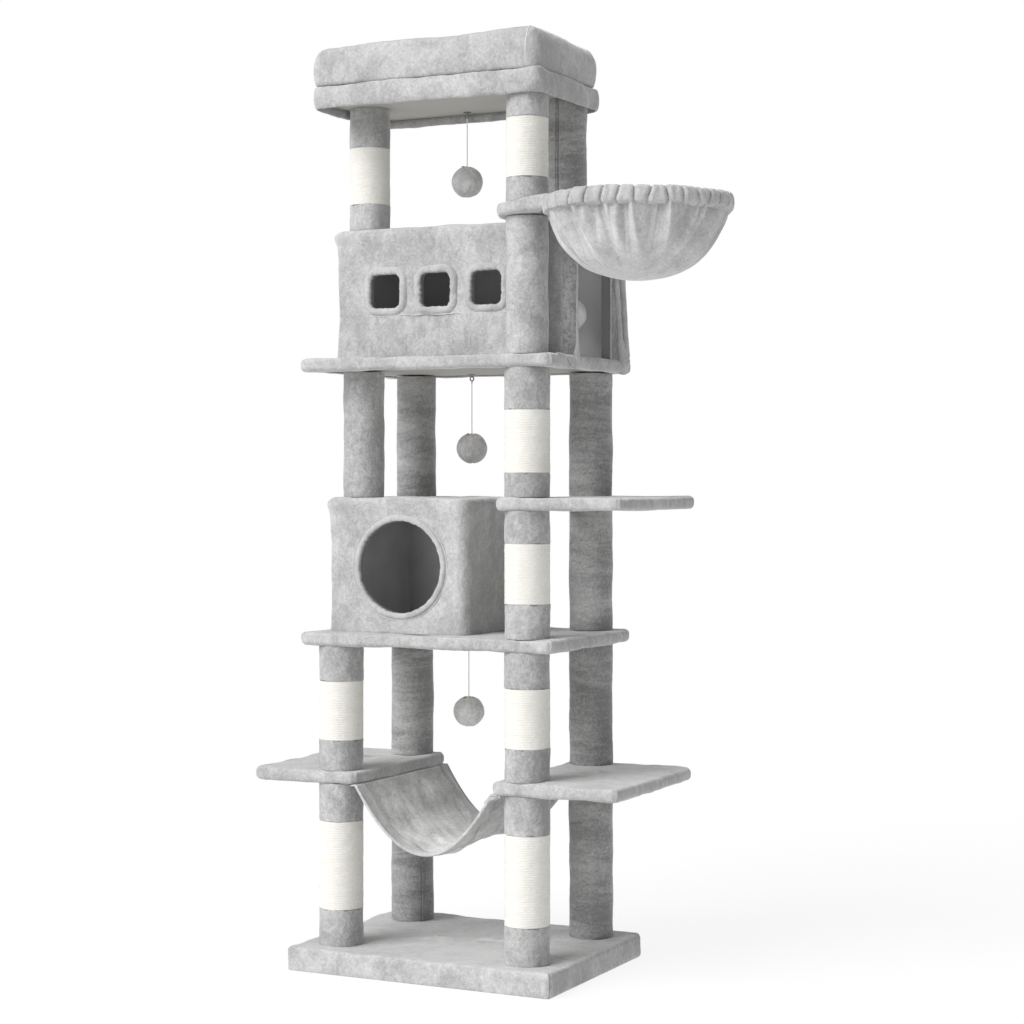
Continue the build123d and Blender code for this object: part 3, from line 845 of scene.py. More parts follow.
def prism(name, outline, low, high, axis):
    """A closed tool with the outline as its section, along Y or X, that cuts an opening. The cut edges take its
    fourth material, a dark felt that paints shade on them."""
    rows = []
    for place in (low, high):
        level = np.full(len(outline), place)
        columns = (outline[:, 0], level) if axis == "y" else (level, outline[:, 0])
        rows.append(np.column_stack([*columns, outline[:, 1]]))
    tool = outward_loft(name, rows, condo_skin(LINING))
    # Slot 3, the dark felt, paints shade on the cut edges.
    paint(tool, 3)
    return tool


def paint(piece, number):
    """Gives one of its materials to all of a piece."""
    mesh = piece.data
    mesh.polygons.foreach_set("material_index", np.full(len(mesh.polygons), number, np.int32))
    mesh.update()


def face_data(piece, key, kind=float):
    out = np.empty(len(piece.data.polygons) * 3, kind)
    piece.data.polygons.foreach_get(key, out)
    return out.reshape(-1, 3)


def shade_wall(piece, beyond):
    """Gives the third material, a darker plush that paints shade, to a condo's +X wall."""
    mesh = piece.data
    index = np.empty(len(mesh.polygons), np.int32)
    mesh.polygons.foreach_get("material_index", index)
    outer = face_data(piece, "center")[:, 0] > beyond
    chosen = outer & (face_data(piece, "normal", np.float32)[:, 0] > 0.25) & (index == 0)
    mesh.polygons.foreach_set("material_index", np.where(chosen, 2, index).astype(np.int32))
    mesh.update()


def carve(piece, tools):
    """Cuts the tools out of a piece, and deletes them."""
    for tool in tools:
        cut = piece.modifiers.new("cut", "BOOLEAN")
        cut.operation = "DIFFERENCE"
        cut.solver = "EXACT"
        cut.object = tool
    graph = bpy.context.evaluated_depsgraph_get()
    mesh = bpy.data.meshes.new_from_object(piece.evaluated_get(graph))
    piece.modifiers.clear()
    old = piece.data
    piece.data = mesh
    bpy.data.meshes.remove(old)
    mesh.shade_smooth()
    mesh.set_sharp_from_angle(angle=SMOOTH_ANGLE)
    for tool in tools:
        bpy.data.objects.remove(tool)


def circle_outline(x, z, radius, count=96):
    return np.array([x, z]) + radius * unit(turns(count))


def box_outline(x, z, width, height, corner, steps=(12, 12, 12)):
    ring = rounded_ring(width / 2, height / 2, [corner] * 4, steps)
    return ring + np.array([x, z])


def outline_out(outline):
    """Level unit directions out of an anticlockwise outline."""
    run = np.roll(outline, -1, 0) - np.roll(outline, 1, 0)
    run /= np.linalg.norm(run, axis=1, keepdims=True)
    return np.column_stack([run[:, 1], -run[:, 0]])


def resample(outline, spacing):
    """A closed outline's points, evenly spaced."""
    closed = np.vstack([outline, outline[:1]])
    run = line_run(closed)
    count = max(24, round(run[-1] / spacing))
    return line_points(closed, run, np.arange(count) / count * run[-1])


# A binding's section in millimetres: out from the opening's edge, and out from the wall's face
BINDING = [(1.6, -5.0), (0.2, -4.2), (-0.4, -2.0), (-0.4, 0.6), (0.6, 2.6), (2.6, 3.7), (5.4, 3.9),
           (8.2, 3.4), (10.2, 2.0), (11.0, 0.0), (11.6, -0.7), (12.4, 0.0), (13.4, 0.5), (14.4, -0.2),
           (15.2, -1.8), (15.6, -3.6), (12.0, -4.2), (3.4, -4.2)]
WINDOW_BINDING = [(1.6, -5.0), (0.2, -4.2), (-0.3, -2.0), (-0.2, 0.4), (1.0, 2.2), (3.4, 3.3), (6.4, 3.5),
                  (9.6, 2.8), (12.0, 1.2), (13.4, -0.3), (14.4, -1.6), (15.2, -3.4), (10.0, -4.2),
                  (3.4, -4.2)]


def binding(name, outline, wall_y, section, seed, pucker_depth=0.12):
    """The plush strip sewn round an opening in a front wall, puckered, its inner edge ragged."""
    outline = resample(outline, 1.4 * MM)
    pucker = field(seed, 0.022)
    ragged = field(seed + 1, 0.0065)
    rows = []
    for place, way in zip(outline, outline_out(outline)):
        point = np.array([[*place, 0.0]])
        swell = 1 + pucker_depth * pucker(point)[0]
        fray = 0.8 * ragged(point)[0]
        ring = []
        for across, proud in section:
            flat = place + way * (across + fray if across < 1.5 else across) * MM
            ring.append((flat[0], wall_y - (proud * swell if proud > 0 else proud) * MM, flat[1]))
        rows.append(ring)
    piece = outward_loft(name, rows, PLUSH_DEEP, wrap_rows=True)
    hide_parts("opening_piping")


CONDO_CORNERS = [22 * MM, 18 * MM, 9 * MM, 24 * MM]
CONDO_TOP = 11 * MM
PANEL = 14 * MM
DOOR_PANEL = 21 * MM
# How far a binding's face stands behind its wall's face, and how far a cutting tool overshoots
BINDING_SET = 0.8 * MM
OVERSHOOT = 50 * MM


def condo_skin(lining):
    """A condo's materials: outside, inside, the +X wall's darker plush that paints shade there, and the dark
    felt that paints shade on the cut edges of its openings.
    """
    return [PLUSH, lining, PLUSH_PAINTED_SHADE, JAMB_PAINTED_SHADE]


def condo_body(name, wall_nodes, seed, lean, lining, door_panel):
    """The plush skin of a condo and its lined room, before its openings are cut."""
    lows, highs = zip(*[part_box(node) for node in wall_nodes])
    low, high = Vector(map(min, *lows)), Vector(map(max, *highs))
    piece = loft(name, solid_rows(low, high, CONDO_CORNERS, CONDO_TOP, 5 * MM), condo_skin(lining))
    soften(piece, seed, 1.5 * MM, 0.5 * MM, lambda co: ramp(co[:, 2], low.z, low.z + 12 * MM))
    co = coords(piece)
    out = normals(piece)
    level = out.copy()
    level[:, 2] = 0
    rise = (co[:, 2] - low.z) / (high.z - low.z)
    hollow = -2.2 * MM * np.sin(pi * np.clip(rise, 0, 1)) * (1 - np.abs(out[:, 2]))
    lip = lean * bump(co[:, 2] - (high.z - 15 * MM), 13 * MM)
    lip = lip * (1 + 1.4 * bump(np.hypot(co[:, 0] - low.x, co[:, 1] - low.y), 40 * MM))
    set_coords(piece, co + (hollow + lip)[:, None] * level)
    room_low = np.array([low.x + PANEL, low.y + PANEL, low.z - 5 * MM])
    room_high = np.array([high.x - door_panel, high.y - PANEL, high.z - PANEL])
    room = loft("room", solid_rows(room_low, room_high, [4 * MM] * 4, 4 * MM, 60 * MM), condo_skin(lining))
    paint(room, 1)
    return piece, room, low, high


# The round doorway's X, Z and radius
ROUND_DOOR = (-0.071, 0.765, 0.0875)
WINDOW_X = (-0.131, -0.022, 0.087)
WINDOW_Z = 1.291
WINDOW_SIZE = (0.064, 0.065)
WINDOW_CORNER = 0.013
# The seam under the windows: its ends along X, and its height
PATCH_SEAM_X = (-0.176, 0.132)
PATCH_SEAM_Z = WINDOW_Z - 0.047
ARCH_Y = 0.013
ARCH_WIDTH = 0.154
ARCH_TOP = 1.378
ARCH_CORNER = 0.045


def lower_condo():
    walls = [f"lower_condo_{part}" for part in ("front_wall", "back_wall", "side_walls", "roof")]
    piece, room, low, _ = condo_body("lower_condo_plush", walls, 610, 2.2 * MM, LINING, PANEL)
    outline = circle_outline(*ROUND_DOOR)
    door = prism("door", outline, low.y - OVERSHOOT, low.y + PANEL + 5 * MM, "y")
    carve(piece, [room, door])
    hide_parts(*walls)
    binding("round_door_binding", outline, low.y + BINDING_SET, BINDING, 620)


def arch_outline(floor):
    """The doorway's outline, in Y and Z, anticlockwise seen from +X, its foot below the floor."""
    left, right = ARCH_Y - ARCH_WIDTH / 2, ARCH_Y + ARCH_WIDTH / 2
    turn = np.linspace(0, pi / 2, 14)
    right_arc = np.column_stack([right - ARCH_CORNER + ARCH_CORNER * np.cos(turn),
                                 ARCH_TOP - ARCH_CORNER + ARCH_CORNER * np.sin(turn)])
    left_arc = np.column_stack([left + ARCH_CORNER - ARCH_CORNER * np.sin(turn),
                                ARCH_TOP - ARCH_CORNER + ARCH_CORNER * np.cos(turn)])
    return np.vstack([[(right, floor)], right_arc, left_arc, [(left, floor)]])


def upper_condo():
    walls = [f"upper_condo_{part}" for part in ("front_wall", "back_wall", "left_wall", "door_wall", "roof")]
    piece, room, low, high = condo_body("upper_condo_plush", walls, 640, 3.2 * MM, PALE_LINING, DOOR_PANEL)
    outlines = [box_outline(x, WINDOW_Z, *WINDOW_SIZE, WINDOW_CORNER) for x in WINDOW_X]
    tools = [room]
    for outline in outlines:
        tools.append(prism("window", outline, low.y - OVERSHOOT, low.y + PANEL + 5 * MM, "y"))
    tools.append(prism("arch", arch_outline(low.z - 8 * MM), high.x - 26 * MM, high.x + OVERSHOOT, "x"))
    carve(piece, tools)
    shade_wall(piece, high.x - 20 * MM)
    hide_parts(*walls)
    for k, outline in enumerate(outlines):
        binding(f"window_binding_{k + 1}", outline, low.y + BINDING_SET, WINDOW_BINDING, 660 + 3 * k, 0.35)
    wobble = field(670, 0.05)
    along = np.linspace(*PATCH_SEAM_X, 90)
    path = np.column_stack([along, np.full(90, low.y + 1.9 * MM), np.full(90, PATCH_SEAM_Z)])
    path[:, 2] += 1.2 * MM * wobble(path)
    seam_ridge("window_patch_seam", path, 1.3 * MM, PLUSH_BOWL)
    arch_roll(low, high)


def arch_roll(low, high):
    """The plush turned over the doorway's edge: a thin light roll up the front jamb and over the
    top, and a fuller one down the rear jamb that wraps over the board's edge."""
    outline = arch_outline(low.z)
    run = line_run(outline)
    dense = line_points(outline, run, np.linspace(0, run[-1], max(8, round(run[-1] / (4 * MM)))))
    swell = field(690, 0.045)
    path = np.column_stack([np.full(len(dense), high.x - 1.6 * MM), dense])
    rear_side = ramp(dense[:, 0], ARCH_Y, ARCH_Y + ARCH_WIDTH / 2 - 5 * MM)
    radius = (2.6 - 0.8 * rear_side) * MM * (1 + 0.16 * swell(path))
    outward_loft("arch_door_roll", tube_rows(path, radius, sides=14), PLUSH_DEEP)
    front_y, rear_y = ARCH_Y - ARCH_WIDTH / 2, ARCH_Y + ARCH_WIDTH / 2
    # Each roll's points in millimetres from the wall's face, its jamb and the floor, and its radii
    routes = {
        "rear_jamb_roll": (rear_y, [(-4, 18, 214), (-1, 24, 150), (-1, 33, 90), (-1, 40, 40), (1, 46, 8),
                                    (2, 54, -8), (-4, 59, -24)], (5.0, 5.5, 6.0, 7.0, 11.0, 14.0, 9.0)),
        "rear_outer_roll": (rear_y, [(-4, 51, 206), (-2, 57, 140), (-2, 64, 80), (-1, 69, 26), (-3, 72, 2),
                                     (-7, 73, -14)], (8.0, 7.0, 6.5, 7.0, 9.0, 6.0)),
        "front_jamb_tuck": (front_y, [(-1, -2, 60), (0, -3, 30), (1, -6, 6), (2, -11, -10), (-1, -15, -24)],
                            (2.5, 4.0, 6.5, 7.0, 3.5)),
    }
    for name, (jamb_y, points, thickness) in routes.items():
        line = spline_path([(high.x + x * MM, jamb_y + y * MM, low.z + z * MM) for x, y, z in points])
        along = np.linspace(0, 1, len(line))
        radii = np.interp(along, np.linspace(0, 1, len(thickness)), thickness) * MM
        radii *= (1 + 0.10 * swell(line)) * np.sqrt(np.clip(along * 14, 0.2, 1))
        outward_loft(f"door_wall_{name}", tube_rows(line, radii, sides=18), PLUSH_DEEP)
    fold = spline_path([(0.2640, -0.152, 1.1605), (0.2690, -0.128, 1.1590), (0.2705, -0.108, 1.1490),
                        (0.2690, -0.098, 1.1360)])
    seam_ridge("upper_deck_corner_fold", fold, 2.4 * MM, PLUSH)


lower_condo()
upper_condo()

# ---- top perch ----

PERCH_CORNERS = [36 * MM, 36 * MM, 32 * MM, 27 * MM]
BOLSTER_CORNERS = [36 * MM, 32 * MM, 15 * MM, 24 * MM]
BED_FLOOR = 1.705
# The corner radius and point spacing that set how finely the perch's pieces are divided
PERCH_STEPS = (34 * MM, 5 * MM)


def perch_band():
    """The stapled plush band round the perch's board, puffed out, and lifted at one corner."""
    low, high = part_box("perch_band")
    centre, half = middle_and_half(low, high)
    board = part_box("perch_board")[0].z
    b, t = low.z, high.z
    profile = [(7.5 * MM, board - 0.3 * MM), (8 * MM, (board + b) / 2)]
    profile += lifted(b, [(8, 2.6), (7.4, 0.8)])
    profile += [(7.5 * MM - 9.2 * MM * sin(k * pi / 22) ** 0.75, b + (t - b) * (1 - cos(k * pi / 22)) / 2)
                for k in range(1, 21)]
    profile += lifted(t, [(12, 0), (26, -1), (26, -4), (4.3, -6)]) + [(4.3 * MM, board)]
    rows = slab_rows(half, PERCH_CORNERS, profile, steps_for(half, *PERCH_STEPS), centre)
    piece = loft("perch_band_plush", rows, PLUSH, wrap_rows=True)
    outer = rows.shape[1] * (len(profile) - 3)

    def keep(co):
        mask = np.ones(len(co))
        mask[outer:] = 0
        return mask

    soften(piece, 710, 1.5 * MM, 0.4 * MM, keep)
    co = coords(piece)
    wave = field(716, 0.16)
    lift = ramp(co[:, 2], b + 20 * MM, t) * keep(co)
    ear = np.zeros(len(co))
    for point, share in zip(corner_points(centre, half, 27 * MM), (0.2, 1.0, 0.2, 0.2)):
        ear += share * bump(np.linalg.norm(co[:, :2] - point, axis=1), 24 * MM)
    co[:, 2] += lift * (1.2 * MM * wave(co) + 4.0 * MM * ear)
    away = co[:, :2] - centre
    co[:, :2] += (lift * ear * 2.0 * MM)[:, None] * away / np.linalg.norm(away, axis=1, keepdims=True)
    set_coords(piece, co)
    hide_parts("perch_band")


def perch_bolster():
    """The stuffed rim of the perch and its cushioned floor, in one padded piece."""
    low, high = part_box("perch_bolster")
    centre, half = middle_and_half(low, high)
    b, t = low.z, high.z
    profile = list(reversed(insets_to_middle(10 * MM, half, b + 1 * MM)))
    profile += lifted(b, [(5, 1.2), (2.4, 2.6), (0.6, 7), (-1.2, 15), (-2.2, 25), (-2.6, 35), (-1.8, 45),
                          (0, 53)])
    profile += lifted(t, [(3, -18), (7, -11), (13, -5.5), (21, -1.6), (31, 0), (42, -1), (53, -5), (62, -12),
                          (68, -21), (71, -32)])
    profile += lifted(BED_FLOOR, [(73, 10), (75, 3), (78, 0.5), (84, 1.8), (94, 5), (108, 8), (122, 9.5)])
    profile += [(min(half) - 1.5 * MM, BED_FLOOR + 10 * MM)]
    rows = slab_rows(half, BOLSTER_CORNERS, profile, steps_for(half, *PERCH_STEPS), centre)
    piece = loft("perch_bolster_plush", rows, PLUSH)
    soften(piece, 730, 1.4 * MM, 0.35 * MM, lambda co: ramp(co[:, 2], b + 1 * MM, b + 14 * MM))
    co = coords(piece)
    slump = ramp(co[:, 2], t - 30 * MM, t)
    long_wave = field(736, 0.30)
    corner = np.zeros(len(co))
    for point in corner_points(centre, half, CORNER_R):
        corner += bump(np.linalg.norm(co[:, :2] - point, axis=1), 55 * MM)
    tallest = bump(np.linalg.norm(co[:, :2] - np.array([high.x, low.y]), axis=1), 110 * MM)
    co[:, 2] += slump * (1.2 * MM * long_wave(co) - 2.5 * MM * corner + 1.0 * MM + 5.5 * MM * tallest)
    set_coords(piece, co)
    grid = co[:rows.shape[0] * rows.shape[1]].reshape(rows.shape)
    for name, sx, sy in (("front_right", 1, -1), ("rear_right", 1, 1), ("rear_left", -1, 1)):
        line = np.array([centre[0] + sx * (half[0] - CORNER_R), centre[1] + sy * half[1]])
        column = np.argmin(np.linalg.norm(rows[12, :, :2] - line, axis=1))
        # The seams take the paler plush, a painted highlight along their ridges.
        seam_ridge(f"perch_{name}_seam", grid[9:26, column], 1.2 * MM, PLUSH_SEAM_HIGHLIGHT)
    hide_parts("perch_bolster")


perch_band()
perch_bolster()

# ---- basket ----

HOOP_CENTRE = np.array([0.455, -0.223, 1.4135])
HOOP_R = 0.154
# The rim sleeve's half height and half width
RIM_R = 0.0152
RIM_WIDE = 0.0135
# How square the sleeve's section is: 2 is an ellipse, and more is squarer
RIM_SQUARE = 2.6
RIM_STEPS = 1100
RIM_SIDES = 40
BOWL_R = 0.150
BOWL_DEPTH = 0.1345
BOWL_TOP = 9 * MM
BOWL_CLOTH = 3.0 * MM
# How much wider the bowl is right under its rim
BOWL_FLARE = 6 * MM
SMALL_FOLDS = 30
# A fold's valley and the swell beside it, both at full strength, and the deepest any fold goes
FOLD_VALLEY = 20 * MM
FOLD_SWELL = 8.5 * MM
DEEPEST_FOLD = 15 * MM
PLEAT_DEPTH = 7.0 * MM
ARM_POST = np.array([0.198, -0.140])
ARM_HALF = 0.055
# Where the rim's deep pleats lie round the hoop, in degrees from +X
PLEATS = (-162, -137, -125, -113, -100, -89, -79, -69, -60, -49, -39, -28, -19, -9, 2, 12, 33, 58, 79, 103, 127,
          150, 176)
# The bowl's few deep folds: direction in degrees from +X, depth, where it dies out, width in
# millimetres and drift
DEEP_FOLDS = [(-9, 1.5, 0.98, 8, -0.50), (-93, 1.3, 0.95, 8, 0.16), (-118, 1.2, 0.80, 8, 0.10),
              (-76, 0.9, 0.70, 7, -0.05), (-52, 1.0, 0.75, 7, -0.08), (-30, 1.2, 0.80, 7, -0.20)]


def basket_rim():
    """The gathered sleeve round the hoop: plump between deep pleats, its foot scalloped."""
    draw = np.random.default_rng(810)
    around = turns(RIM_STEPS)
    turn = turns(RIM_SIDES)
    pleat = np.radians(PLEATS)
    depth = draw.uniform(0.6, 1.0, len(pleat))
    lean = draw.uniform(-0.04, 0.04, len(pleat))
    lump = field(811, 0.045)
    crumple = field(812, 0.016)
    grid_a = around[:, None]
    grid_t = turn[None, :]
    way = unit(around)
    centre_line = HOOP_CENTRE + np.column_stack([HOOP_R * way, np.zeros(RIM_STEPS)])
    base = (centre_line[:, None] + RIM_R * np.stack([
        way[:, None, 0] * np.cos(turn)[None], way[:, None, 1] * np.cos(turn)[None],
        np.broadcast_to(np.sin(turn)[None], (RIM_STEPS, RIM_SIDES))], -1))
    flat = ((np.abs(np.cos(turn)) / RIM_WIDE) ** RIM_SQUARE
            + (np.abs(np.sin(turn)) / RIM_R) ** RIM_SQUARE) ** (-1 / RIM_SQUARE)
    reach = np.tile(flat, (RIM_STEPS, 1))
    reach += 1.0 * MM * lump(base) + 0.5 * MM * crumple(base)
    for place, deep, slant in zip(pleat, depth, lean):
        run = turn_gap(grid_a - place, slant * np.sin(grid_t)) * HOOP_R
        front = 0.55 + 0.45 * np.cos(grid_t)
        reach -= PLEAT_DEPTH * deep * front * bump(run, 1.3 * MM)
        reach -= 2.0 * MM * deep * front * bump(run, 5.0 * MM)
        reach += 1.4 * MM * deep * front * (bump(run - 6.5 * MM, 4 * MM) + bump(run + 7 * MM, 4 * MM))
    under = turn_gap(grid_t, -1.20)
    scallop = 1 + 0.5 * np.sin(grid_a * 31 + 1.5 * np.sin(grid_a * 5))
    reach -= 2.6 * MM * bump(under * RIM_R, 1.5 * MM)
    reach += 0.8 * MM * bump((under - 0.26) * RIM_R, 2.2 * MM) * scallop
    reach += 1.4 * MM * bump((under + 0.30) * RIM_R, 2.4 * MM) * scallop
    radial = HOOP_R + reach * np.cos(grid_t)
    height = HOOP_CENTRE[2] - 1.2 * MM + reach * np.sin(grid_t)
    height += 0.8 * MM * np.sin(3 * grid_a + 0.6) + 0.5 * MM * np.sin(7 * grid_a)
    rows = np.stack([HOOP_CENTRE[0] + radial * way[:, 0:1], HOOP_CENTRE[1] + radial * way[:, 1:2], height], -1)
    piece = outward_loft("basket_rim_sleeve", rows, PLUSH_DEEP, wrap_rows=True)
    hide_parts("basket_cloth")


def basket_bowl():
    """The bowl's cloth: gathered into uneven folds under the rim that die out towards its bottom."""
    count, levels = 660, 60
    draw = np.random.default_rng(820)
    around = turns(count)
    folds = (np.arange(SMALL_FOLDS) + draw.uniform(-0.30, 0.30, SMALL_FOLDS)) / SMALL_FOLDS * tau
    power = draw.uniform(0.30, 0.85, SMALL_FOLDS)
    fade = draw.uniform(0.35, 0.85, SMALL_FOLDS)
    width = draw.uniform(4.0, 7.0, SMALL_FOLDS) * MM
    sway = draw.uniform(-0.12, 0.12, SMALL_FOLDS)
    for place, strong, last, wide, drift in DEEP_FOLDS:
        folds = np.append(folds, radians(place))
        power = np.append(power, strong)
        fade = np.append(fade, last)
        width = np.append(width, wide * MM)
        sway = np.append(sway, drift)
    dent = field(822, 0.09)
    way = unit(around)
    outside, inside = [], []
    for t in np.linspace(0, 0.985, levels):
        angle = t * pi / 2
        radius = BOWL_R * cos(angle) ** 0.92 + 1.5 * MM * sin(2 * angle)
        radius += BOWL_FLARE * (1 - ramp(t, 0, 0.25))
        z = HOOP_CENTRE[2] - BOWL_TOP - (BOWL_DEPTH - BOWL_TOP) * sin(angle)
        push = np.zeros(count)
        for fold, strong, last, wide, drift in zip(folds, power, fade, width, sway):
            run = turn_gap(around - fold, drift * t ** 1.3) * max(radius, 20 * MM)
            strength = strong * (1 - ramp(t, 0.10, last))
            spread = wide * (1 + 1.3 * t)
            push -= FOLD_VALLEY * strength * np.exp(-np.abs(run) / spread)
            push += FOLD_SWELL * strength * bump(run - 1.9 * spread, spread)
        point = level_ring(*HOOP_CENTRE[:2], radius, way, z)
        push += 1.0 * MM * dent(point) * min(1, radius / 0.05)
        push = DEEPEST_FOLD * np.tanh(push / DEEPEST_FOLD)
        outward = np.column_stack([way * cos(angle), np.full(count, -sin(angle))])
        outside.append(point + push[:, None] * outward)
        inside.append(point + (push - BOWL_CLOTH)[:, None] * outward)
    piece = outward_loft("basket_bowl_plush", list(reversed(outside)) + inside, PLUSH_BOWL)
    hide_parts("basket_cloth")


def basket_arm():
    """The plush-wrapped arm, round where it holds the post, its ends rolled over."""
    run = HOOP_CENTRE[:2] - ARM_POST
    reach = np.linalg.norm(run)
    angle = atan2(run[1], run[0])
    low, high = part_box("basket_arm")
    start, end = -ARM_HALF, reach - HOOP_R - RIM_R - 0.2 * MM
    half = ((end - start) / 2, ARM_HALF)
    b, t = low.z, high.z
    profile = list(reversed(insets_to_middle(10 * MM, half, b)))
    profile += quarter(8.5 * MM, b + 8.5 * MM, 8.5 * MM, -90)
    profile += [(-0.2 * MM, (b + t) / 2)]
    profile += quarter(8.5 * MM, t - 8.5 * MM, 8.5 * MM, 0)
    profile += insets_to_middle(10 * MM, half, t)
    round_end, square_end = ARM_HALF - 1 * MM, 12 * MM
    rows = slab_rows(half, [square_end, round_end, round_end, square_end], profile,
                     steps_for(half, 30 * MM, 4 * MM), ((start + end) / 2, 0))
    along = rows[:, :, 0].copy()
    pinch = ramp(along, 20 * MM, 75 * MM)
    middle = (b + t) / 2
    flare = 1 - ramp(along, -48 * MM, -22 * MM)
    rise = 1.0 * MM + 5.0 * MM * ramp(along, -10 * MM, 80 * MM)
    rows[:, :, 2] = middle + rise + (rows[:, :, 2] - middle) * (0.92 + 0.36 * flare + 0.22 * pinch)
    rows[:, :, 1] *= 1 - 0.10 * bump(along - 60 * MM, 32 * MM)
    x = ARM_POST[0] + rows[:, :, 0] * cos(angle) - rows[:, :, 1] * sin(angle)
    y = ARM_POST[1] + rows[:, :, 0] * sin(angle) + rows[:, :, 1] * cos(angle)
    rows[:, :, 0], rows[:, :, 1] = x, y
    piece = loft("basket_arm_plush", rows, PLUSH)
    soften(piece, 840, 1.2 * MM, 0.5 * MM)
    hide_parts("basket_arm")


basket_rim()
basket_bowl()
basket_arm()

# ---- hammock ----

HAMMOCK_X = (-0.141, 0.145)
HAMMOCK_Y = (-0.184, 0.180)
HAMMOCK_TOP = 0.3535
HAMMOCK_SAG = 0.1205
TAB = 0.011
HEM = 0.036
# How far each hem is drawn in at the middle, where its stitching lies, and half the cloth's thickness
DRAWN_IN = 4.0 * MM
EDGE_STITCH = 3.8 * MM
HEM_STITCH = HEM - 3 * MM
HALF_CLOTH = 1.1 * MM
# The wavelengths and heights of the creases
CREASES = ((0.055, 6.5 * MM), (0.024, 3.8 * MM), (0.012, 0.9 * MM))


def hammock():
    """The hung sheet: two hemmed edges with stitching, and creases that run down from where the
    boards hold it."""
    width = HAMMOCK_X[1] - HAMMOCK_X[0]
    y0, y1 = HAMMOCK_Y
    edge = np.arange(0, 40, 1.0) * MM / (y1 - y0)
    t = np.concatenate([edge, np.linspace(edge[-1], 1 - edge[-1], 110)[1:-1], 1 - edge[::-1]])
    across = len(t)
    edge_in = np.minimum(t, 1 - t) * (y1 - y0)
    hem = 1.9 * MM * (1 - ramp(edge_in, HEM - 1.6 * MM, HEM + 0.6 * MM))
    hem -= 1.5 * MM * bump(edge_in - 4.2 * MM, 0.9 * MM) + 1.2 * MM * bump(edge_in - HEM_STITCH, 1.0 * MM)
    hem -= 1.2 * MM * (1 - ramp(edge_in, 0, 1.4 * MM))
    # Each station's place along X and its share of the hanging span. The first and last are tabs.
    stations = [(-TAB, 0.0), (-TAB * 0.5, 0.0)] + [(s * width, s) for s in np.linspace(0, 1, 150)]
    stations += [(width + TAB * 0.5, 1.0), (width + TAB, 1.0)]
    creases = [(height, field(900 + k, length)) for k, (length, height) in enumerate(CREASES)]
    rows = []
    for u, s in stations:
        x = HAMMOCK_X[0] + u
        z = HAMMOCK_TOP - 4 * HAMMOCK_SAG * s * (1 - s)
        slope = -4 * HAMMOCK_SAG * (1 - 2 * s) / width
        normal = np.array([-slope, 0, 1]) / sqrt(1 + slope ** 2)
        hung = ramp(s, 0, 0.10) * (1 - ramp(s, 0.90, 1))
        fan = np.column_stack([np.full(across, 0.42 * u), (t - 0.5) * 0.36 + 0.16 * (s - 0.5) * (t - 0.4),
                               np.full(across, 0.05 * s)])
        pull = 0.55 + 0.45 * (abs(2 * s - 1)) ** 1.2
        folds = sum(height * crease(fan) for height, crease in creases)
        lift = hung * ramp(edge_in, 6 * MM, 34 * MM) * pull * folds + hung * 2.2 * MM * np.sin(pi * t)
        y = y0 + t * (y1 - y0) + DRAWN_IN * sin(pi * s) * (1 - 2 * t)
        top, under = (np.column_stack([x + normal[0] * out, y, z + normal[2] * out])
                      for out in (lift + (HALF_CLOTH + hem), lift - (HALF_CLOTH + hem)))
        rows.append(np.vstack([top, under[::-1]]))
    piece = outward_loft("hammock_plush", rows, [PLUSH_HAMMOCK, PLUSH_BOWL, PLUSH_PAINTED_SHADE])
    middles = face_data(piece, "center")
    drawn_in = DRAWN_IN * np.sin(pi * np.clip((middles[:, 0] - HAMMOCK_X[0]) / width, 0, 1))
    inset = np.minimum(middles[:, 1] - y0, y1 - middles[:, 1]) - drawn_in
    # The stitch lines take the darker plush: painted shade in their grooves.
    stitched = (np.abs(inset - EDGE_STITCH) < 0.8 * MM) | (np.abs(inset - HEM_STITCH) < 0.8 * MM)
    finish = np.where(stitched, 2, np.where(inset < HEM, 1, 0)).astype(np.int32)
    piece.data.polygons.foreach_set("material_index", finish)
    piece.data.set_sharp_from_angle(angle=HEM_ANGLE)
    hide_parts("hammock")
    corner_tuck()


def corner_tuck():
    """The hammock's spare corner, folded twice and stapled under the right board."""
    x, y, z = HAMMOCK_X[1] - 1 * MM, HAMMOCK_Y[0] + 7 * MM, HAMMOCK_TOP - 3 * MM
    folds = [((-13, -4, -13), (-3, -5, -4), (8, -4, 0), (19, -2, 1)),
             ((-9, 3, -12), (0, 2, -6), (10, 3, -3), (17, 5, -1)),
             ((-4, -7, -4), (2, -9, -3), (9, -8, -2), (13, -5, 0))]
    for k, route in enumerate(folds):
        path = spline_path([(x + a * MM, y + b * MM, z + c * MM) for a, b, c in route])
        end = np.linspace(0, 1, len(path))
        radius = (4.6 - k * 0.7) * MM * (0.45 + 0.55 * np.sin(pi * np.clip(0.12 + 0.80 * end, 0, 1)))
        tube = tube_rows(path, radius, sides=16, squash=0.62)
        outward_loft(f"hammock_corner_fold_{k + 1}", tube, PLUSH_DEEP)


hammock()

# ---- toy balls ----

BALL_R = 0.0305
# The CAD ball's radius, from the bottom of its box to its centre
CAD_BALL_R = 0.031
BEAD_R = 3.4 * MM
# The dimple where the cord goes in, and the pucker at the ball's bottom
DIMPLE = 4.6 * MM
PUCKER = 1.5 * MM


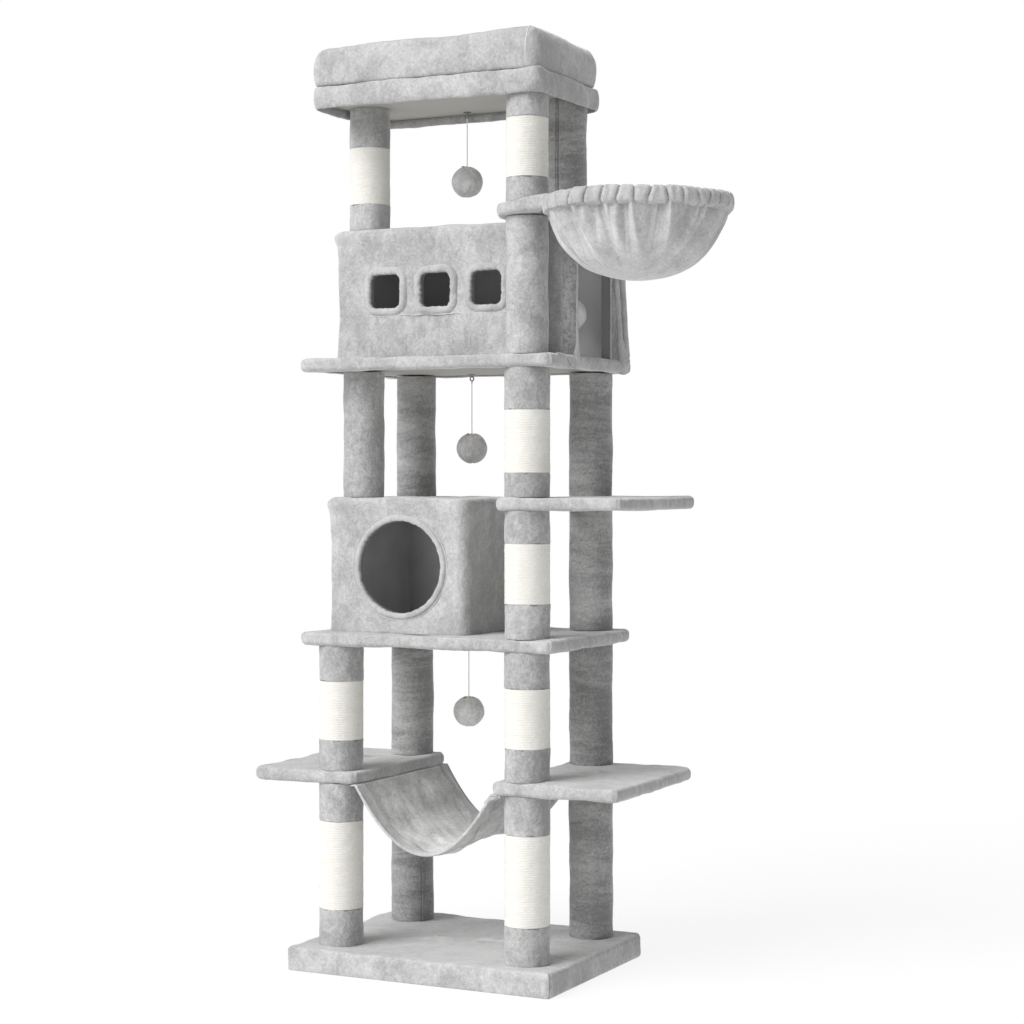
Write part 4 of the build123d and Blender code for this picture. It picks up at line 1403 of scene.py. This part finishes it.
def toy_ball(name):
    x, y, _ = TOYS[name][0]
    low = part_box(f"{name}_toy_ball")[0]
    centre = np.array([x, y, low.z + CAD_BALL_R])
    count, levels = 120, 64
    draw = np.random.default_rng(sum(map(ord, name)))
    around = turns(count)
    creases = (np.arange(6) + draw.uniform(-0.25, 0.25, 6)) / 6 * tau
    lump = field(950 + len(name), 0.022)
    rows = []
    for polar in np.linspace(0.985, 0.015, levels) * pi:
        point = level_ring(0, 0, sin(polar), unit(around), cos(polar))
        reach = np.full(count, BALL_R) + 0.45 * MM * lump(point * BALL_R + centre)
        for crease in creases:
            apart = turn_gap(around, crease) * sin(polar) * BALL_R
            reach -= 1.1 * MM * bump(apart, 1.3 * MM) * (0.35 + 0.65 * abs(cos(polar)))
        reach -= DIMPLE * bump(polar * BALL_R, 4.2 * MM)
        reach -= PUCKER * bump((pi - polar) * BALL_R, 3.5 * MM)
        rows.append(centre + point * reach[:, None])
    body = f"{name}_ball"
    ball = outward_loft(f"{name}_ball_plush", rows, BALL_PLUSH, body=body, slot="ball_plush")
    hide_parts(f"{name}_toy_ball")
    bead_way = facing(-8) * 0.45 + np.array([0, 0, 0.89])
    bead_centre = centre + bead_way / np.linalg.norm(bead_way) * (BALL_R - 0.2 * MM)
    turn = turns(20)
    bead_rows = []
    for polar in np.linspace(0.97, 0.03, 13) * pi:
        radius = BEAD_R * (1 + 0.06 * np.sin(5 * turn + 3 * polar))
        ring = level_ring(0, 0, radius * sin(polar), unit(turn), 0.8 * radius * cos(polar))
        bead_rows.append(bead_centre + ring)
    outward_loft(f"{name}_ball_bead", bead_rows, BRASS, body=body, slot="ball_plush")


for toy in TOYS:
    toy_ball(toy)

# ---- floor and light ----

FLOOR_SIZE = 60
FLOOR_GLOW = 0.85
FLOOR_TONE = 0.16
# How far the floor lies under the tree, so that the two don't touch
FLOOR_GAP = 0.4 * MM


def floor_material():
    shader = Shader("studio_floor")
    grain = shader.noise(6, 2.0, 0.5)
    color = shader.tone(grain, grey(FLOOR_TONE * 0.98), grey(FLOOR_TONE))
    material = shader.finish(color, 0.9, Specular_IOR_Level=0.0)
    shader.surface.inputs["Emission Color"].default_value = (1, 1, 1, 1)
    shader.surface.inputs["Emission Strength"].default_value = FLOOR_GLOW
    return material


def add_floor():
    half = FLOOR_SIZE / 2
    mesh = bpy.data.meshes.new("floor")
    corners = [(-half, -half, 0), (half, -half, 0), (half, half, 0), (-half, half, 0)]
    mesh.from_pydata(corners, [], [(0, 1, 2, 3)])
    mesh.materials.append(floor_material())
    floor = link(bpy.data.objects.new("floor", mesh))
    floor.location.z = -FLOOR_GAP


def add_lights():
    """One soft sun, and a room that lights less brightly than the camera sees it."""
    world = bpy.data.worlds.new("studio")
    world.use_nodes = True
    bpy.context.scene.world = world
    tree = world.node_tree
    background = tree.nodes["Background"]
    background.inputs["Color"].default_value = (1, 1, 1, 1)
    rays = tree.nodes.new("ShaderNodeLightPath")
    strength = tree.nodes.new("ShaderNodeMapRange")
    tree.links.new(rays.outputs["Is Camera Ray"], strength.inputs["Value"])
    strength.inputs["To Min"].default_value = ROOM_LIGHT
    strength.inputs["To Max"].default_value = 1.0
    tree.links.new(strength.outputs[0], background.inputs["Strength"])
    data = bpy.data.lights.new("key", "SUN")
    data.energy = KEY_STRENGTH
    data.angle = radians(KEY_WIDTH)
    key = link(bpy.data.objects.new("key", data))
    towards = facing(KEY_TURN) * cos(radians(KEY_HEIGHT)) + np.array([0, 0, sin(radians(KEY_HEIGHT))])
    key.rotation_euler = Vector(towards).to_track_quat("Z", "Y").to_euler()
    scene = bpy.context.scene
    scene.view_settings.view_transform = "Standard"
    scene.view_settings.look = "None"


add_floor()
add_lights()
